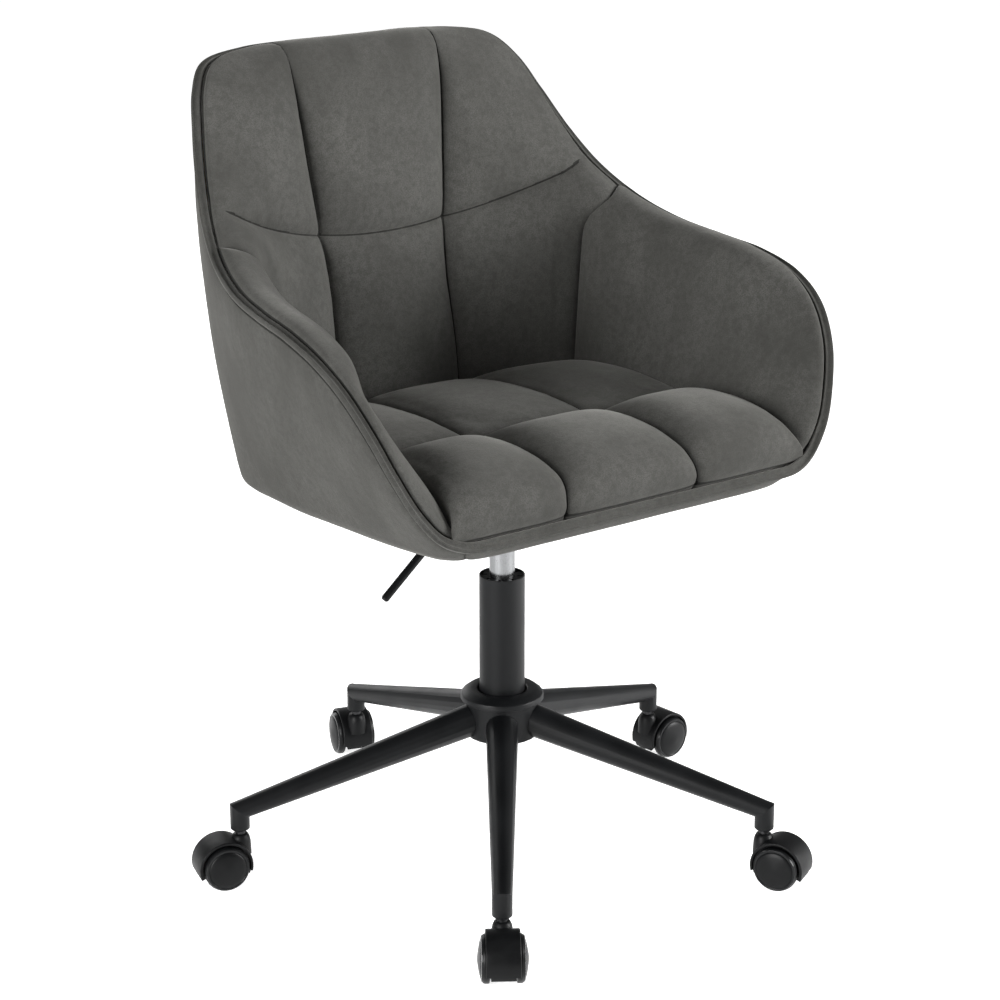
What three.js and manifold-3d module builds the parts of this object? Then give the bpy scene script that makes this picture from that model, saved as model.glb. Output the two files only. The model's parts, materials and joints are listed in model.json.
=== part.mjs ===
// Swivel office chair: an upholstered bucket seat on a gas lift, over a five-leg base with casters.
// Millimetres, +Z up. The seat faces -Y, the sitter's left is +X, and the floor is z = 0.
import * as THREE from "three";
import { mergeVertices } from "three/addons/utils/BufferGeometryUtils.js";
import Module from "manifold-3d";

const wasm = await Module();
wasm.setup();

// ---------- driving dimensions ----------
const GAP = 0.4; // clearance between pieces that touch or turn in each other
const COLUMN_Y = -28; // the lift column stands this far from the middle of the footprint

const LEG_COUNT = 5;
const FIRST_LEG_DEG = -126.9; // the legs turn freely under the seat
const CASTER_TURN_DEG = [2, -8, -12, -17, 4]; // each caster's own turn, from pointing straight out
const STEM_RADIUS_FROM_COLUMN = 297;
const LEG_SLOPE_DEG = 15.2;
const LEG_ROOT_R = 18;
const LEG_TIP_R = 10.5;
const LEG_TIP_Z = 83; // the leg's centreline above the caster stem
const SOCKET_BOTTOM_Z = 61;

const HUB_R = 40;
const HUB_BOTTOM_Z = 136;
const HUB_TOP_Z = 176;
const COLLAR_R = 46;
const COLLAR_TOP_Z = 188;

const WHEEL_R = 25;
const WHEEL_SEGMENTS = 20;
const WHEEL_INNER = 13.4; // from the caster's middle plane to the wheel's inner face
const WHEEL_OUTER = 26;
const CASTER_TRAIL = 21;
const AXLE_R = 3;
const STEM_R = 5.5;

const TUBE_R = 25;
const TUBE_WALL = 1.6;
const TUBE_BOTTOM_Z = 128;
const TUBE_TOP_Z = 320;
const CYLINDER_R = 14;
const CYLINDER_BOTTOM_Z = 195;
const CYLINDER_TOP_Z = 390;
const ROD_R = 5;

const PLATE_THICKNESS = 2.5;
const PLATE_X = 150;
const PLATE_Y = 190;
const BOX_X = 76;
const BOX_Y = 60;
const BOX_BOTTOM_Z = 386.8;
const BOLT_X = 60;
const BOLT_Y = 78;
const LEVER_Z = 400;
const LEVER_R = 3;
const LEVER_PIVOT_X = -26;
const LEVER_BEND_X = -65;
const LEVER_TIP = new THREE.Vector3(-155, 0, 324);

const SEAT_TILT_DEG = 3.75; // the seat's underside rises towards the front
const SEAT_FOOT_Z = 428.5; // the outside's lower edge, at the column
const FRONT_RISE = 4;
const HEM_DROP = 8;
const BOARD_THICKNESS = 12;
const CLOTH_THICKNESS = 2.6;
const COVER_THICKNESS = 3;
const FRAME_THICKNESS = 7.5;
const HEM_INSET = 34;
const WELT_R = 3.6;
const CUSHION_HALF_WIDTH = 207.5;
const CUSHION_FRONT_Y = -219;
const CUSHION_FRONT_Z = 464;
const CUSHION_CROWN = 48;
const CUSHION_REAR_Y = 182;

const ROUND = 24; // sides of an ordinary round piece

const TILT = THREE.MathUtils.degToRad(SEAT_TILT_DEG);
const footPlaneZ = (y) => SEAT_FOOT_Z - y * Math.tan(TILT);
const BOARD_BOTTOM = GAP + 3 - HEM_DROP; // all heights below are from the foot plane
const BOARD_TOP = BOARD_BOTTOM + BOARD_THICKNESS;
const CLOTH_BOTTOM = BOARD_BOTTOM - GAP - CLOTH_THICKNESS;
const PLATE_TOP = CLOTH_BOTTOM - GAP;
const PLATE_BOTTOM = PLATE_TOP - PLATE_THICKNESS;

// ---------- materials ----------
const material = (color, roughness, metalness) =>
  new THREE.MeshStandardMaterial({ color, roughness, metalness });
const velvet = material(0x5c5b56, 0.95, 0);
const blackPaint = material(0x1d1f21, 0.45, 0.3);
const blackPlastic = material(0x191b1d, 0.4, 0);
const wheelPlastic = material(0x141517, 0.3, 0);
const chrome = material(0xc8cacc, 0.2, 1);
const steel = material(0x8f9194, 0.35, 1);
const plywood = material(0xb08d5e, 0.8, 0);
const rubber = material(0x151515, 0.9, 0);
const dustCloth = material(0x202020, 0.95, 0);

// ---------- closed meshes, and cutting and joining them ----------
// The geometry with shared vertices merged, collapsed triangles dropped and its faces pointing out.
function closed(geometry) {
  const bare = new THREE.BufferGeometry().setAttribute("position", geometry.getAttribute("position"));
  if (geometry.index) bare.setIndex(geometry.index);
  const merged = mergeVertices(bare, 1e-3);
  const position = merged.getAttribute("position");
  const corners = [];
  const index = merged.index.array;
  for (let i = 0; i < index.length; i += 3) {
    const [a, b, c] = [index[i], index[i + 1], index[i + 2]];
    if (a !== b && b !== c && a !== c) corners.push(a, b, c);
  }
  const point = (i) => new THREE.Vector3().fromBufferAttribute(position, i);
  let volume = 0;
  for (let i = 0; i < corners.length; i += 3)
    volume += point(corners[i]).dot(point(corners[i + 1]).cross(point(corners[i + 2])));
  if (volume < 0) corners.reverse();
  merged.setIndex(corners);
  return merged;
}

function solidOf(geometry) {
  const g = closed(geometry);
  return new wasm.Manifold(
    new wasm.Mesh({
      numProp: 3,
      vertProperties: new Float32Array(g.getAttribute("position").array),
      triVerts: new Uint32Array(g.index.array),
    }),
  );
}

function geometryOf(solid) {
  const mesh = solid.getMesh();
  return new THREE.BufferGeometry()
    .setAttribute("position", new THREE.BufferAttribute(new Float32Array(mesh.vertProperties), 3))
    .setIndex(new THREE.BufferAttribute(new Uint32Array(mesh.triVerts), 1));
}

const cut = (from, ...tools) =>
  geometryOf(tools.reduce((left, tool) => left.subtract(solidOf(tool)), solidOf(from)));
const join = (...pieces) =>
  geometryOf(pieces.slice(1).reduce((sum, p) => sum.add(solidOf(p)), solidOf(pieces[0])));

// ---------- simple shapes, all about +Z ----------
const box = (x, y, z, [cx, cy, cz]) => new THREE.BoxGeometry(x, y, z).translate(cx, cy, cz);

// A round bar along Z from z0 to z1.
const bar = (radius, z0, z1, x = 0, y = 0, sides = ROUND) =>
  new THREE.CylinderGeometry(radius, radius, z1 - z0, sides)
    .rotateX(Math.PI / 2)
    .translate(x, y, (z0 + z1) / 2);

// A closed [radius, z] profile turned about Z.
function turned(profile, sides = ROUND) {
  const points = profile.map(([r, z]) => new THREE.Vector2(r, z));
  if (profile[0][0] > 0) points.push(points[0].clone());
  return closed(new THREE.LatheGeometry(points, sides).rotateX(Math.PI / 2));
}

const ring = (inner, outer, z0, z1, sides = ROUND) =>
  turned([[inner, z0], [outer, z0], [outer, z1], [inner, z1]], sides);

function piece(name, geometry, look) {
  const mesh = new THREE.Mesh(closed(geometry), look);
  mesh.name = name;
  return mesh;
}

// ---------- base ----------
function baseHub() {
  return piece(
    "base_hub",
    turned([
      [TUBE_R + GAP, HUB_BOTTOM_Z],
      [HUB_R, HUB_BOTTOM_Z],
      [HUB_R, HUB_TOP_Z],
      [COLLAR_R, HUB_TOP_Z + 1],
      [COLLAR_R - 1, HUB_TOP_Z + 7],
      [COLLAR_R - 8, COLLAR_TOP_Z],
      [TUBE_R + 3, COLLAR_TOP_Z],
      [TUBE_R + GAP, COLLAR_TOP_Z - 4],
    ]),
    blackPaint,
  );
}

// A tapered round tube from the hub, mitred into a vertical socket that is bored for the caster's stem.
function leg(number) {
  const slope = THREE.MathUtils.degToRad(LEG_SLOPE_DEG);
  const corner = new THREE.Vector3(STEM_RADIUS_FROM_COLUMN, 0, LEG_TIP_Z);
  const along = new THREE.Vector3(Math.cos(slope), 0, -Math.sin(slope));
  const down = new THREE.Vector3(0, 0, -1);
  const rootDistance = (STEM_RADIUS_FROM_COLUMN - 28) / Math.cos(slope);
  const overrun = 12;
  const taper = (LEG_ROOT_R - LEG_TIP_R) / rootDistance;
  const profile = [
    [0, -overrun],
    [LEG_TIP_R, -overrun],
    [LEG_TIP_R, 0],
    [LEG_TIP_R + 30 * taper, 30],
    [LEG_ROOT_R, rootDistance],
    [0, rootDistance],
  ];
  const up = new THREE.Vector3(0, 0, 1);
  const tube = turned(profile, 18)
    .applyQuaternion(new THREE.Quaternion().setFromUnitVectors(up, along.clone().negate()))
    .translate(corner.x, corner.y, corner.z);
  const socket = turned([
    [0, SOCKET_BOTTOM_Z],
    [LEG_TIP_R - 1.5, SOCKET_BOTTOM_Z],
    [LEG_TIP_R, SOCKET_BOTTOM_Z + 1.5],
    [LEG_TIP_R, LEG_TIP_Z + overrun],
    [0, LEG_TIP_Z + overrun],
  ], 18).translate(corner.x, 0, 0);
  // Each tube is cut just past the mitre plane, which halves the bend between them.
  const mitre = along.clone().add(down).normalize();
  const size = 60;
  const lap = 0.1;
  const beyond = (side) =>
    new THREE.BoxGeometry(size, size, size)
      .translate(0, 0, side * (size / 2 + lap))
      .applyQuaternion(new THREE.Quaternion().setFromUnitVectors(up, mitre))
      .translate(corner.x, corner.y, corner.z);
  const elbow = join(cut(tube, beyond(1)), cut(socket, beyond(-1)));
  const geometry = cut(
    elbow,
    bar(HUB_R + GAP, HUB_BOTTOM_Z - 20, COLLAR_TOP_Z),
    bar(STEM_R + GAP, SOCKET_BOTTOM_Z - 1, SOCKET_BOTTOM_Z + 20, corner.x, 0, 12),
  );
  return piece(`leg_${number}`, geometry, blackPaint);
}

// A twin-wheel caster in its leg's frame: +X runs outwards, and the stem is at x = 0.
function caster(number) {
  const axleZ = WHEEL_R * Math.cos(Math.PI / WHEEL_SEGMENTS); // a wheel stands on one of its flats
  const toAxle = (geometry) => geometry.rotateX(Math.PI / 2).translate(CASTER_TRAIL, 0, axleZ);
  const bodyHalf = WHEEL_INNER - 0.6;
  const bodyR = 23;
  const hoodInner = WHEEL_R + 2.2;
  const hoodOuter = WHEEL_R + 4.8;
  const hoodHalf = 17.6;
  const hoodEnd = THREE.MathUtils.degToRad(14); // how far the hood reaches below the axle on each side
  const turn = (r, a) => new THREE.Vector2(r * Math.cos(a), r * Math.sin(a));

  const hood = new THREE.Shape();
  hood.absarc(0, 0, hoodOuter, -hoodEnd, Math.PI + hoodEnd, false);
  const inner = turn(hoodInner, Math.PI + hoodEnd);
  hood.lineTo(inner.x, inner.y);
  hood.absarc(0, 0, hoodInner, Math.PI + hoodEnd, -hoodEnd, true);
  hood.closePath();
  const middle = new THREE.Shape();
  const flat = THREE.MathUtils.degToRad(48);
  middle.absarc(0, 0, hoodOuter - 0.5, -flat / 2, Math.PI + flat / 2, false);
  middle.absarc(0, 0, bodyR - 4, Math.PI + flat, 2 * Math.PI - flat, false);
  middle.closePath();
  const slab = (shape, half, curveSegments) => {
    const options = { depth: 2 * half, bevelEnabled: false, curveSegments };
    return toAxle(new THREE.ExtrudeGeometry(shape, options).translate(0, 0, -half));
  };
  const boss = turned([[0, 38], [9.5, 38], [8.5, 50], [6.2, 54], [0, 54]], 12);
  const cutters = [toAxle(bar(AXLE_R + GAP, -30, 30, 0, 0, 8)), bar(STEM_R + GAP, 40, 60, 0, 0, 12)];
  const housing = cut(join(slab(middle, bodyHalf, 6), slab(hood, hoodHalf, 7), boss), ...cutters);

  const wheelProfile = [
    [AXLE_R + GAP, WHEEL_INNER],
    [WHEEL_R, WHEEL_INNER],
    [WHEEL_R, WHEEL_INNER + 7],
    [WHEEL_R - 4, WHEEL_OUTER - 2.6],
    [AXLE_R + GAP, WHEEL_OUTER],
  ];
  const halfFlat = Math.PI / WHEEL_SEGMENTS;
  const wheel = (side) => {
    const geometry = turned(wheelProfile, WHEEL_SEGMENTS).rotateZ(halfFlat);
    if (side < 0) geometry.rotateX(Math.PI);
    return toAxle(geometry);
  };
  const axleEnd = WHEEL_OUTER - 1;
  const stem = turned([
    [0, 41],
    [STEM_R, 41],
    [STEM_R, SOCKET_BOTTOM_Z + 17],
    [STEM_R - 1.5, SOCKET_BOTTOM_Z + 18.5],
    [0, SOCKET_BOTTOM_Z + 18.5],
  ], 12);
  const group = new THREE.Group();
  group.position.x = STEM_RADIUS_FROM_COLUMN;
  group.rotation.z = THREE.MathUtils.degToRad(CASTER_TURN_DEG[number - 1]);
  group.add(
    piece(`caster_${number}_housing`, housing, blackPlastic),
    piece(`caster_${number}_stem`, stem, steel),
    piece(`caster_${number}_axle`, toAxle(bar(AXLE_R - 0.3, -axleEnd, axleEnd, 0, 0, 8)), steel),
    piece(`caster_${number}_wheel_left`, wheel(1), wheelPlastic),
    piece(`caster_${number}_wheel_right`, wheel(-1), wheelPlastic),
  );
  return group;
}

// ---------- gas lift ----------
function gasLift() {
  const inside = TUBE_R - TUBE_WALL;
  const floorZ = TUBE_BOTTOM_Z + 12; // the plate that carries the thrust bearing
  const tube = turned([
    [TUBE_R, TUBE_BOTTOM_Z],
    [TUBE_R, TUBE_TOP_Z],
    [inside, TUBE_TOP_Z],
    [inside, floorZ + 3],
    [ROD_R + GAP, floorZ + 3],
    [ROD_R + GAP, floorZ],
    [inside, floorZ],
    [inside, TUBE_BOTTOM_Z],
  ]);
  const bushTop = TUBE_TOP_Z - 1.5;
  const notches = [];
  const notchCount = 8;
  for (let i = 0; i < notchCount; i += 1)
    notches.push(box(6, 3, 6, [19.5, 0, bushTop]).rotateZ((i * 2 * Math.PI) / notchCount));
  const bush = cut(ring(CYLINDER_R + GAP, inside - GAP, 255, bushTop), ...notches);
  const wall = 2.8;
  const cylinder = turned([
    [ROD_R + GAP, CYLINDER_BOTTOM_Z],
    [CYLINDER_R, CYLINDER_BOTTOM_Z],
    [CYLINDER_R, CYLINDER_TOP_Z - 12],
    [CYLINDER_R - 0.6, CYLINDER_TOP_Z],
    [LEVER_R + GAP, CYLINDER_TOP_Z],
    [LEVER_R + GAP, CYLINDER_TOP_Z - 8],
    [CYLINDER_R - wall, CYLINDER_TOP_Z - 8],
    [CYLINDER_R - wall, CYLINDER_BOTTOM_Z + 8],
    [ROD_R + GAP, CYLINDER_BOTTOM_Z + 8],
  ]);
  return [
    piece("column_tube", tube, blackPaint),
    piece("guide_bush", bush, blackPlastic),
    piece("thrust_bearing", ring(ROD_R + GAP, 12, floorZ + 3 + GAP, floorZ + 8, 16), steel),
    piece("retaining_clip", ring(ROD_R + GAP, 9, floorZ - 2.4, floorZ - GAP, 16), steel),
    piece("piston_rod", bar(ROD_R, TUBE_BOTTOM_Z + 3, 289, 0, 0, 16), chrome),
    piece("piston", ring(ROD_R + GAP, CYLINDER_R - wall - GAP, 274, 287, 16), blackPlastic),
    piece("bump_stop", ring(ROD_R + GAP, 12, floorZ + 8 + GAP, floorZ + 20, 16), rubber),
    piece("gas_cylinder", cylinder, chrome),
    piece("release_pin", bar(LEVER_R, CYLINDER_TOP_Z - 14, LEVER_Z - LEVER_R - GAP, 0, 0, 16), steel),
  ];
}

// ---------- seat mechanism ----------
const boltPlaces = [[-1, -1], [1, -1], [-1, 1], [1, 1]].map(([x, y]) => [x * BOLT_X, y * BOLT_Y]);

// Things laid out level, about the foot plane's point over the column, and then tilted with the seat.
function tilted(geometry) {
  return geometry.rotateX(-TILT).translate(0, 0, SEAT_FOOT_Z);
}

// A pressed plate that tilts with the seat, with a level dished box and the socket for the lift's top.
function mountPlate() {
  const wall = 2.5;
  const depth = SEAT_FOOT_Z - BOX_BOTTOM_Z;
  const plate = tilted(box(PLATE_X, PLATE_Y, PLATE_THICKNESS, [0, 0, PLATE_BOTTOM + PLATE_THICKNESS / 2]));
  const above = tilted(box(PLATE_X, PLATE_Y, 40, [0, 0, PLATE_TOP + 20]));
  const dish = box(BOX_X, BOX_Y, depth, [0, 0, BOX_BOTTOM_Z + depth / 2]);
  const hollow = box(BOX_X - 2 * wall, BOX_Y - 2 * wall, depth, [0, 0, BOX_BOTTOM_Z + wall + depth / 2]);
  const socket = bar(19, 352, BOX_BOTTOM_Z + 0.5);
  const slotHeight = 20;
  const slot = box(12, 12, slotHeight, [-BOX_X / 2, 0, BOX_BOTTOM_Z + wall + slotHeight / 2]);
  const pivotHole = bar(2.5 + GAP, -BOX_Y, BOX_Y, 0, 0, 12)
    .rotateX(Math.PI / 2)
    .translate(LEVER_PIVOT_X, 0, LEVER_Z);
  const holes = boltPlaces.map(([x, y]) => tilted(bar(3 + GAP, PLATE_BOTTOM - 1, PLATE_TOP + 1, x, y, 12)));
  const bore = bar(CYLINDER_R + GAP, 350, BOX_BOTTOM_Z + 6);
  const geometry = cut(join(plate, dish, socket), above, hollow, bore, slot, pivotHole, ...holes);
  return piece("mount_plate", geometry, blackPaint);
}

function boltsUnderSeat() {
  const head = PLATE_BOTTOM - GAP;
  return boltPlaces.map(([x, y], i) => {
    const hexagon = bar(5.5, head - 4, head - 1.4, x, y, 6);
    const washer = bar(7, head - 1.5, head, x, y, 16);
    const shank = bar(3, head - 2, BOARD_TOP - 1.5, x, y, 12);
    return piece(`seat_bolt_${i + 1}`, tilted(join(hexagon, washer, shank)), steel);
  });
}

// A bent rod that turns on a cross pin: lifting its outer end lowers its inner end on the release pin.
function lever() {
  const bend = new THREE.Vector3(LEVER_BEND_X, 0, LEVER_Z);
  const outwards = LEVER_TIP.clone().sub(bend).normalize();
  const rodEnd = LEVER_TIP.clone().addScaledVector(outwards, -4);
  const path = new THREE.CurvePath();
  const before = new THREE.Vector3(bend.x + 8, 0, LEVER_Z);
  const after = bend.clone().addScaledVector(outwards, 8);
  path.add(new THREE.LineCurve3(new THREE.Vector3(4, 0, LEVER_Z), before));
  path.add(new THREE.QuadraticBezierCurve3(before, bend, after));
  path.add(new THREE.LineCurve3(after, rodEnd));
  const section = new THREE.Shape().absarc(0, 0, LEVER_R, 0, 2 * Math.PI, false);
  const rod = new THREE.ExtrudeGeometry(section, { steps: 14, extrudePath: path, curveSegments: 5 });
  const sleeve = bar(6, -7, 7, 0, 0, 12).rotateX(Math.PI / 2).translate(LEVER_PIVOT_X, 0, LEVER_Z);
  const eye = bar(2.5 + GAP, -9, 9, 0, 0, 12).rotateX(Math.PI / 2).translate(LEVER_PIVOT_X, 0, LEVER_Z);
  const gripLength = 85;
  const grip = turned([
    [LEVER_R + GAP, 0],
    [4.4, 0],
    [4.4, gripLength - 2],
    [3, gripLength],
    [0, gripLength],
    [0, gripLength - 3.4],
    [LEVER_R + GAP, gripLength - 3.4],
    [LEVER_R + GAP, 0],
  ], 12)
    .applyQuaternion(new THREE.Quaternion().setFromUnitVectors(new THREE.Vector3(0, 0, 1), outwards))
    .translate(...LEVER_TIP.clone().addScaledVector(outwards, -gripLength).toArray());
  const pivot = bar(2.5, 2.5 - BOX_Y / 2 - 1.5, BOX_Y / 2 - 1, 0, 0, 12)
    .rotateX(Math.PI / 2)
    .translate(LEVER_PIVOT_X, 0, LEVER_Z);
  return [
    piece("lever_rod", cut(join(rod, sleeve), eye), steel),
    piece("lever_grip", grip, blackPlastic),
    piece("lever_pivot_pin", pivot, steel),
  ];
}

// ---------- upholstered bucket ----------
// One half of the seat, from the front's middle round to the back's middle, at even steps of the parameter s.
// rim: the welt's centreline. foot: the outside's lower edge in plan. base: the inside wall's, at the board.
const STATIONS = [
  { rim: [0, -228, 458], foot: [0, -226], base: [0, -222] },
  { rim: [107, -228, 458], foot: [107, -226], base: [107, -222] },
  { rim: [171, -228, 458], foot: [171, -225], base: [171, -222] },
  { rim: [212, -227, 459], foot: [208, -217], base: [203, -213] },
  { rim: [238, -222, 469], foot: [224, -200], base: [209, -198] },
  { rim: [260, -216, 494], foot: [229, -178], base: [210.5, -184] },
  { rim: [278, -204, 530], foot: [231, -150], base: [210.5, -165] },
  { rim: [293, -186, 571], foot: [232, -118], base: [211, -144] },
  { rim: [303, -157, 607], foot: [232, -80], base: [210, -111] },
  { rim: [307, -115, 632], foot: [231, -45], base: [210, -74] },
  { rim: [305, -62, 646], foot: [230, -5], base: [209.5, -34] },
  { rim: [299, -2, 653], foot: [229, 35], base: [209.5, 12] },
  { rim: [289, 59, 662], foot: [227, 75], base: [209, 60] },
  { rim: [275, 115, 681], foot: [224, 115], base: [208, 108] },
  { rim: [258, 163, 711], foot: [219, 156], base: [200, 158] },
  { rim: [241, 201, 751], foot: [208, 191], base: [178, 176] },
  { rim: [225, 231, 793], foot: [189, 217], base: [150, 182] },
  { rim: [209, 256, 829], foot: [163, 233], base: [120, 184] },
  { rim: [186, 277, 852], foot: [130, 240], base: [92, 185] },
  { rim: [131, 293, 861], foot: [77, 243], base: [55, 186] },
  { rim: [0, 299, 862], foot: [0, 244], base: [0, 186] },
];
const LAST = STATIONS.length - 1;
const COVER_CORNER = 3; // where the side cover meets the front cover
const COVER_BACK = 15; // and the back cover
const ARM_START = 4; // where the arm pad begins at the front corner
const ARM_SEAM = 13.6; // where the arm pad meets the back pad

// The parameter brought back into the loop's own range.
const wrapped = (s) => ((s % (2 * LAST)) + 2 * LAST) % (2 * LAST);

// A curve through the right half's points and their mirror image, as a function of s from 0 to 2 * LAST.
function aroundSeat(key) {
  const half = STATIONS.map((station) => new THREE.Vector3(...station[key]));
  const mirrored = half.slice(1, LAST).reverse().map((p) => new THREE.Vector3(-p.x, p.y, p.z));
  const curve = new THREE.CatmullRomCurve3([...half, ...mirrored], true, "centripetal");
  return (s) => curve.getPoint(wrapped(s) / (2 * LAST));
}
const rimAt = aroundSeat("rim");
const footPlan = aroundSeat("foot");
const fromFront = (s) => Math.min(wrapped(s), 2 * LAST - wrapped(s));
// The lower edge lies in the foot plane, and rises a little more under the front.
function footAt(s) {
  const foot = footPlan(s);
  const rise = FRONT_RISE * (1 - THREE.MathUtils.smoothstep(fromFront(s), 1.5, 4));
  return foot.setZ(footPlaneZ(foot.y) + rise);
}
const baseAt = aroundSeat("base");

// The level direction from the foot towards the middle of the seat.
function inwardsAt(s) {
  const along = footAt(s + 0.1).sub(footAt(s - 0.1));
  return new THREE.Vector3(-along.y, along.x, 0).normalize();
}

// The directions at the rim: towards the inside of the seat, and away from it along the wall.
function rimFrame(s) {
  const tangent = rimAt(s + 0.05).sub(rimAt(s - 0.05)).normalize();
  const inwards = baseAt(s).sub(rimAt(s)).setZ(0).normalize();
  inwards.addScaledVector(tangent, -inwards.dot(tangent)).normalize();
  const off = new THREE.Vector3().crossVectors(inwards, tangent).normalize();
  if (off.z < 0 || (Math.abs(off.z) < 0.3 && off.y > 0)) off.negate();
  return { inwards, off };
}

// How far the outside bulges from the straight line between rim and foot.
const bulgeAt = (s) =>
  8 * THREE.MathUtils.smoothstep(fromFront(s), 3, 9) + 2 * THREE.MathUtils.smoothstep(fromFront(s), 10, 15);

// Every layer of the seat is made at the same rows, so that the layers keep their gaps.
const WALL_ROWS = [0.12, 0.25, 0.45, 0.68, 0.88, 0.97];
const COVER_ROWS = [0, 0.04, ...WALL_ROWS, 1];

// The outside of the cover: from under the welt, down the wall to the foot.
function outsidePoint(s, t) {
  const { inwards, off } = rimFrame(s);
  const start = rimAt(s).addScaledVector(off, -6).addScaledVector(inwards, -1);
  const lip = 1 - Math.exp(-t / 0.05);
  const belly = Math.sin(Math.PI * Math.min(1, 0.12 + 0.88 * t));
  const swell = bulgeAt(s) * lip * (0.45 + 0.55 * belly) * (1 - t ** 6);
  return start.lerp(footAt(s), t).addScaledVector(inwardsAt(s), -swell);
}

// The outside moved inwards by a distance, at right angles to the surface.
function outsideOffset(s, t, distance) {
  const at = outsidePoint(s, t);
  const alongS = outsidePoint(s + 0.1, t).sub(outsidePoint(s - 0.1, t));
  const alongT = outsidePoint(s, Math.min(1, t + 0.04)).sub(outsidePoint(s, Math.max(0, t - 0.04)));
  const normal = new THREE.Vector3().crossVectors(alongS, alongT).normalize();
  if (normal.dot(inwardsAt(s)) < 0) normal.negate();
  return at.addScaledVector(normal, distance);
}

// The inside of the pad: it leaves the welt, rolls over the rim and runs down to the seat board.
const ROLL_START = [4.4, 3.4];
const ROLL = [[0, 0], [4, 3.5], [16, 5.5], [30, 3], [41, -6], [47, -20]];
const PAD_BOTTOM = BOARD_TOP + 3;
function insideRows(s) {
  const { inwards, off } = rimFrame(s);
  const rim = rimAt(s);
  const base = baseAt(s);
  base.z = footPlaneZ(base.y) + PAD_BOTTOM;
  const room = rim.clone().sub(base).setZ(0).length();
  const scale = Math.min(1, 0.3 + room / 75, 0.12 + (rim.z - base.z) / 105);
  const rows = ROLL.map(([i, n]) =>
    rim.clone()
      .addScaledVector(inwards, ROLL_START[0] + i * scale)
      .addScaledVector(off, ROLL_START[1] + n * scale ** 0.7));
  const top = rows[rows.length - 1];
  const knee = base.clone().setZ(Math.min(492, top.z - 4));
  for (const t of [0.33, 0.67]) rows.push(top.clone().lerp(knee, t));
  return [...rows, knee, base];
}

// The back of the pad, point for point against its inside.
function padBackRows(s) {
  const { inwards, off } = rimFrame(s);
  const rim = rimAt(s);
  const clear = COVER_THICKNESS + FRAME_THICKNESS + 4 * GAP;
  const rows = [0, 1, 2, 3].map((j) =>
    rim.clone().addScaledVector(inwards, 5.6 + 1.8 * j).addScaledVector(off, 1.2 - 1.6 * j));
  const nearFoot = (t) => 7 * THREE.MathUtils.smoothstep(t, 0.82, 0.97);
  for (const t of WALL_ROWS) rows.push(outsideOffset(s, t, clear + nearFoot(t)));
  const last = rows[rows.length - 1];
  last.z = footPlaneZ(last.y) + PAD_BOTTOM;
  return rows;
}

// A closed solid between two grids of points, front[i][j] and back[i][j]. Looped joins its two ends.
function between(front, back, looped = false) {
  const rows = front.length;
  const columns = front[0].length;
  const positions = [...front.flat(), ...back.flat()].flatMap((p) => [p.x, p.y, p.z]);
  const index = [];
  const id = (side, i, j) => side * rows * columns + (i % rows) * columns + j;
  const quad = (a, b, c, d) => index.push(a, b, c, a, c, d);
  const steps = looped ? rows : rows - 1;
  for (let i = 0; i < steps; i += 1) {
    for (let j = 0; j < columns - 1; j += 1) {
      quad(id(0, i, j), id(0, i + 1, j), id(0, i + 1, j + 1), id(0, i, j + 1));
      quad(id(1, i, j), id(1, i, j + 1), id(1, i + 1, j + 1), id(1, i + 1, j));
    }
    quad(id(1, i, 0), id(1, i + 1, 0), id(0, i + 1, 0), id(0, i, 0));
    quad(id(0, i, columns - 1), id(0, i + 1, columns - 1), id(1, i + 1, columns - 1), id(1, i, columns - 1));
  }
  if (!looped) {
    for (let j = 0; j < columns - 1; j += 1) {
      quad(id(0, 0, j), id(0, 0, j + 1), id(1, 0, j + 1), id(1, 0, j));
      quad(id(0, rows - 1, j), id(1, rows - 1, j), id(1, rows - 1, j + 1), id(0, rows - 1, j + 1));
    }
  }
  const geometry = new THREE.BufferGeometry().setAttribute(
    "position",
    new THREE.Float32BufferAttribute(positions, 3),
  );
  return geometry.setIndex(index);
}

const steps = (from, to, count) =>
  Array.from({ length: count + 1 }, (_, i) => from + ((to - from) * i) / count);
const AROUND = [...steps(0, 2 * LAST - 1, 2 * LAST - 1), ARM_SEAM, 2 * LAST - ARM_SEAM];
AROUND.sort((a, b) => a - b);
const SLIT = 0.015; // half of the gap between neighbours along the rim, as a share of a station

// The stations between two ends, each end drawn back by the slit.
function stationsBetween(from, to) {
  const around = [...AROUND.map((s) => s - 2 * LAST), ...AROUND];
  return [from + SLIT, ...around.filter((s) => s > from + SLIT && s < to - SLIT), to - SLIT];
}

function pad(name, from, to) {
  const stations = stationsBetween(from, to);
  return piece(name, between(stations.map(insideRows), stations.map(padBackRows)), velvet);
}

// The foot's outline drawn in towards the middle, at a height from the foot plane.
const FOOT_MIDDLE_Y = 10.5;
function footInset(s, inset, height = 0) {
  const foot = footAt(s);
  foot.x *= 1 - inset / 231;
  foot.y = FOOT_MIDDLE_Y + (foot.y - FOOT_MIDDLE_Y) * (1 - inset / 236.5);
  return foot.setZ(footPlaneZ(foot.y) + height);
}

// The outside cover's wall, and the hem that turns in under the seat.
function cover(name, from, to) {
  const layer = (s, distance) => {
    const rows = COVER_ROWS.map((t) => outsideOffset(s, t, distance));
    rows[rows.length - 1] = footInset(s, 0.7 * distance, 0.3 * distance);
    const hem = [[8, -0.7 * HEM_DROP], [20, -HEM_DROP], [HEM_INSET, -HEM_DROP]];
    return [...rows, ...hem.map(([inset, height]) => footInset(s, inset, height + distance))];
  };
  const stations = stationsBetween(from, to);
  return piece(
    name,
    between(stations.map((s) => layer(s, 0)), stations.map((s) => layer(s, COVER_THICKNESS))),
    velvet,
  );
}

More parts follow.
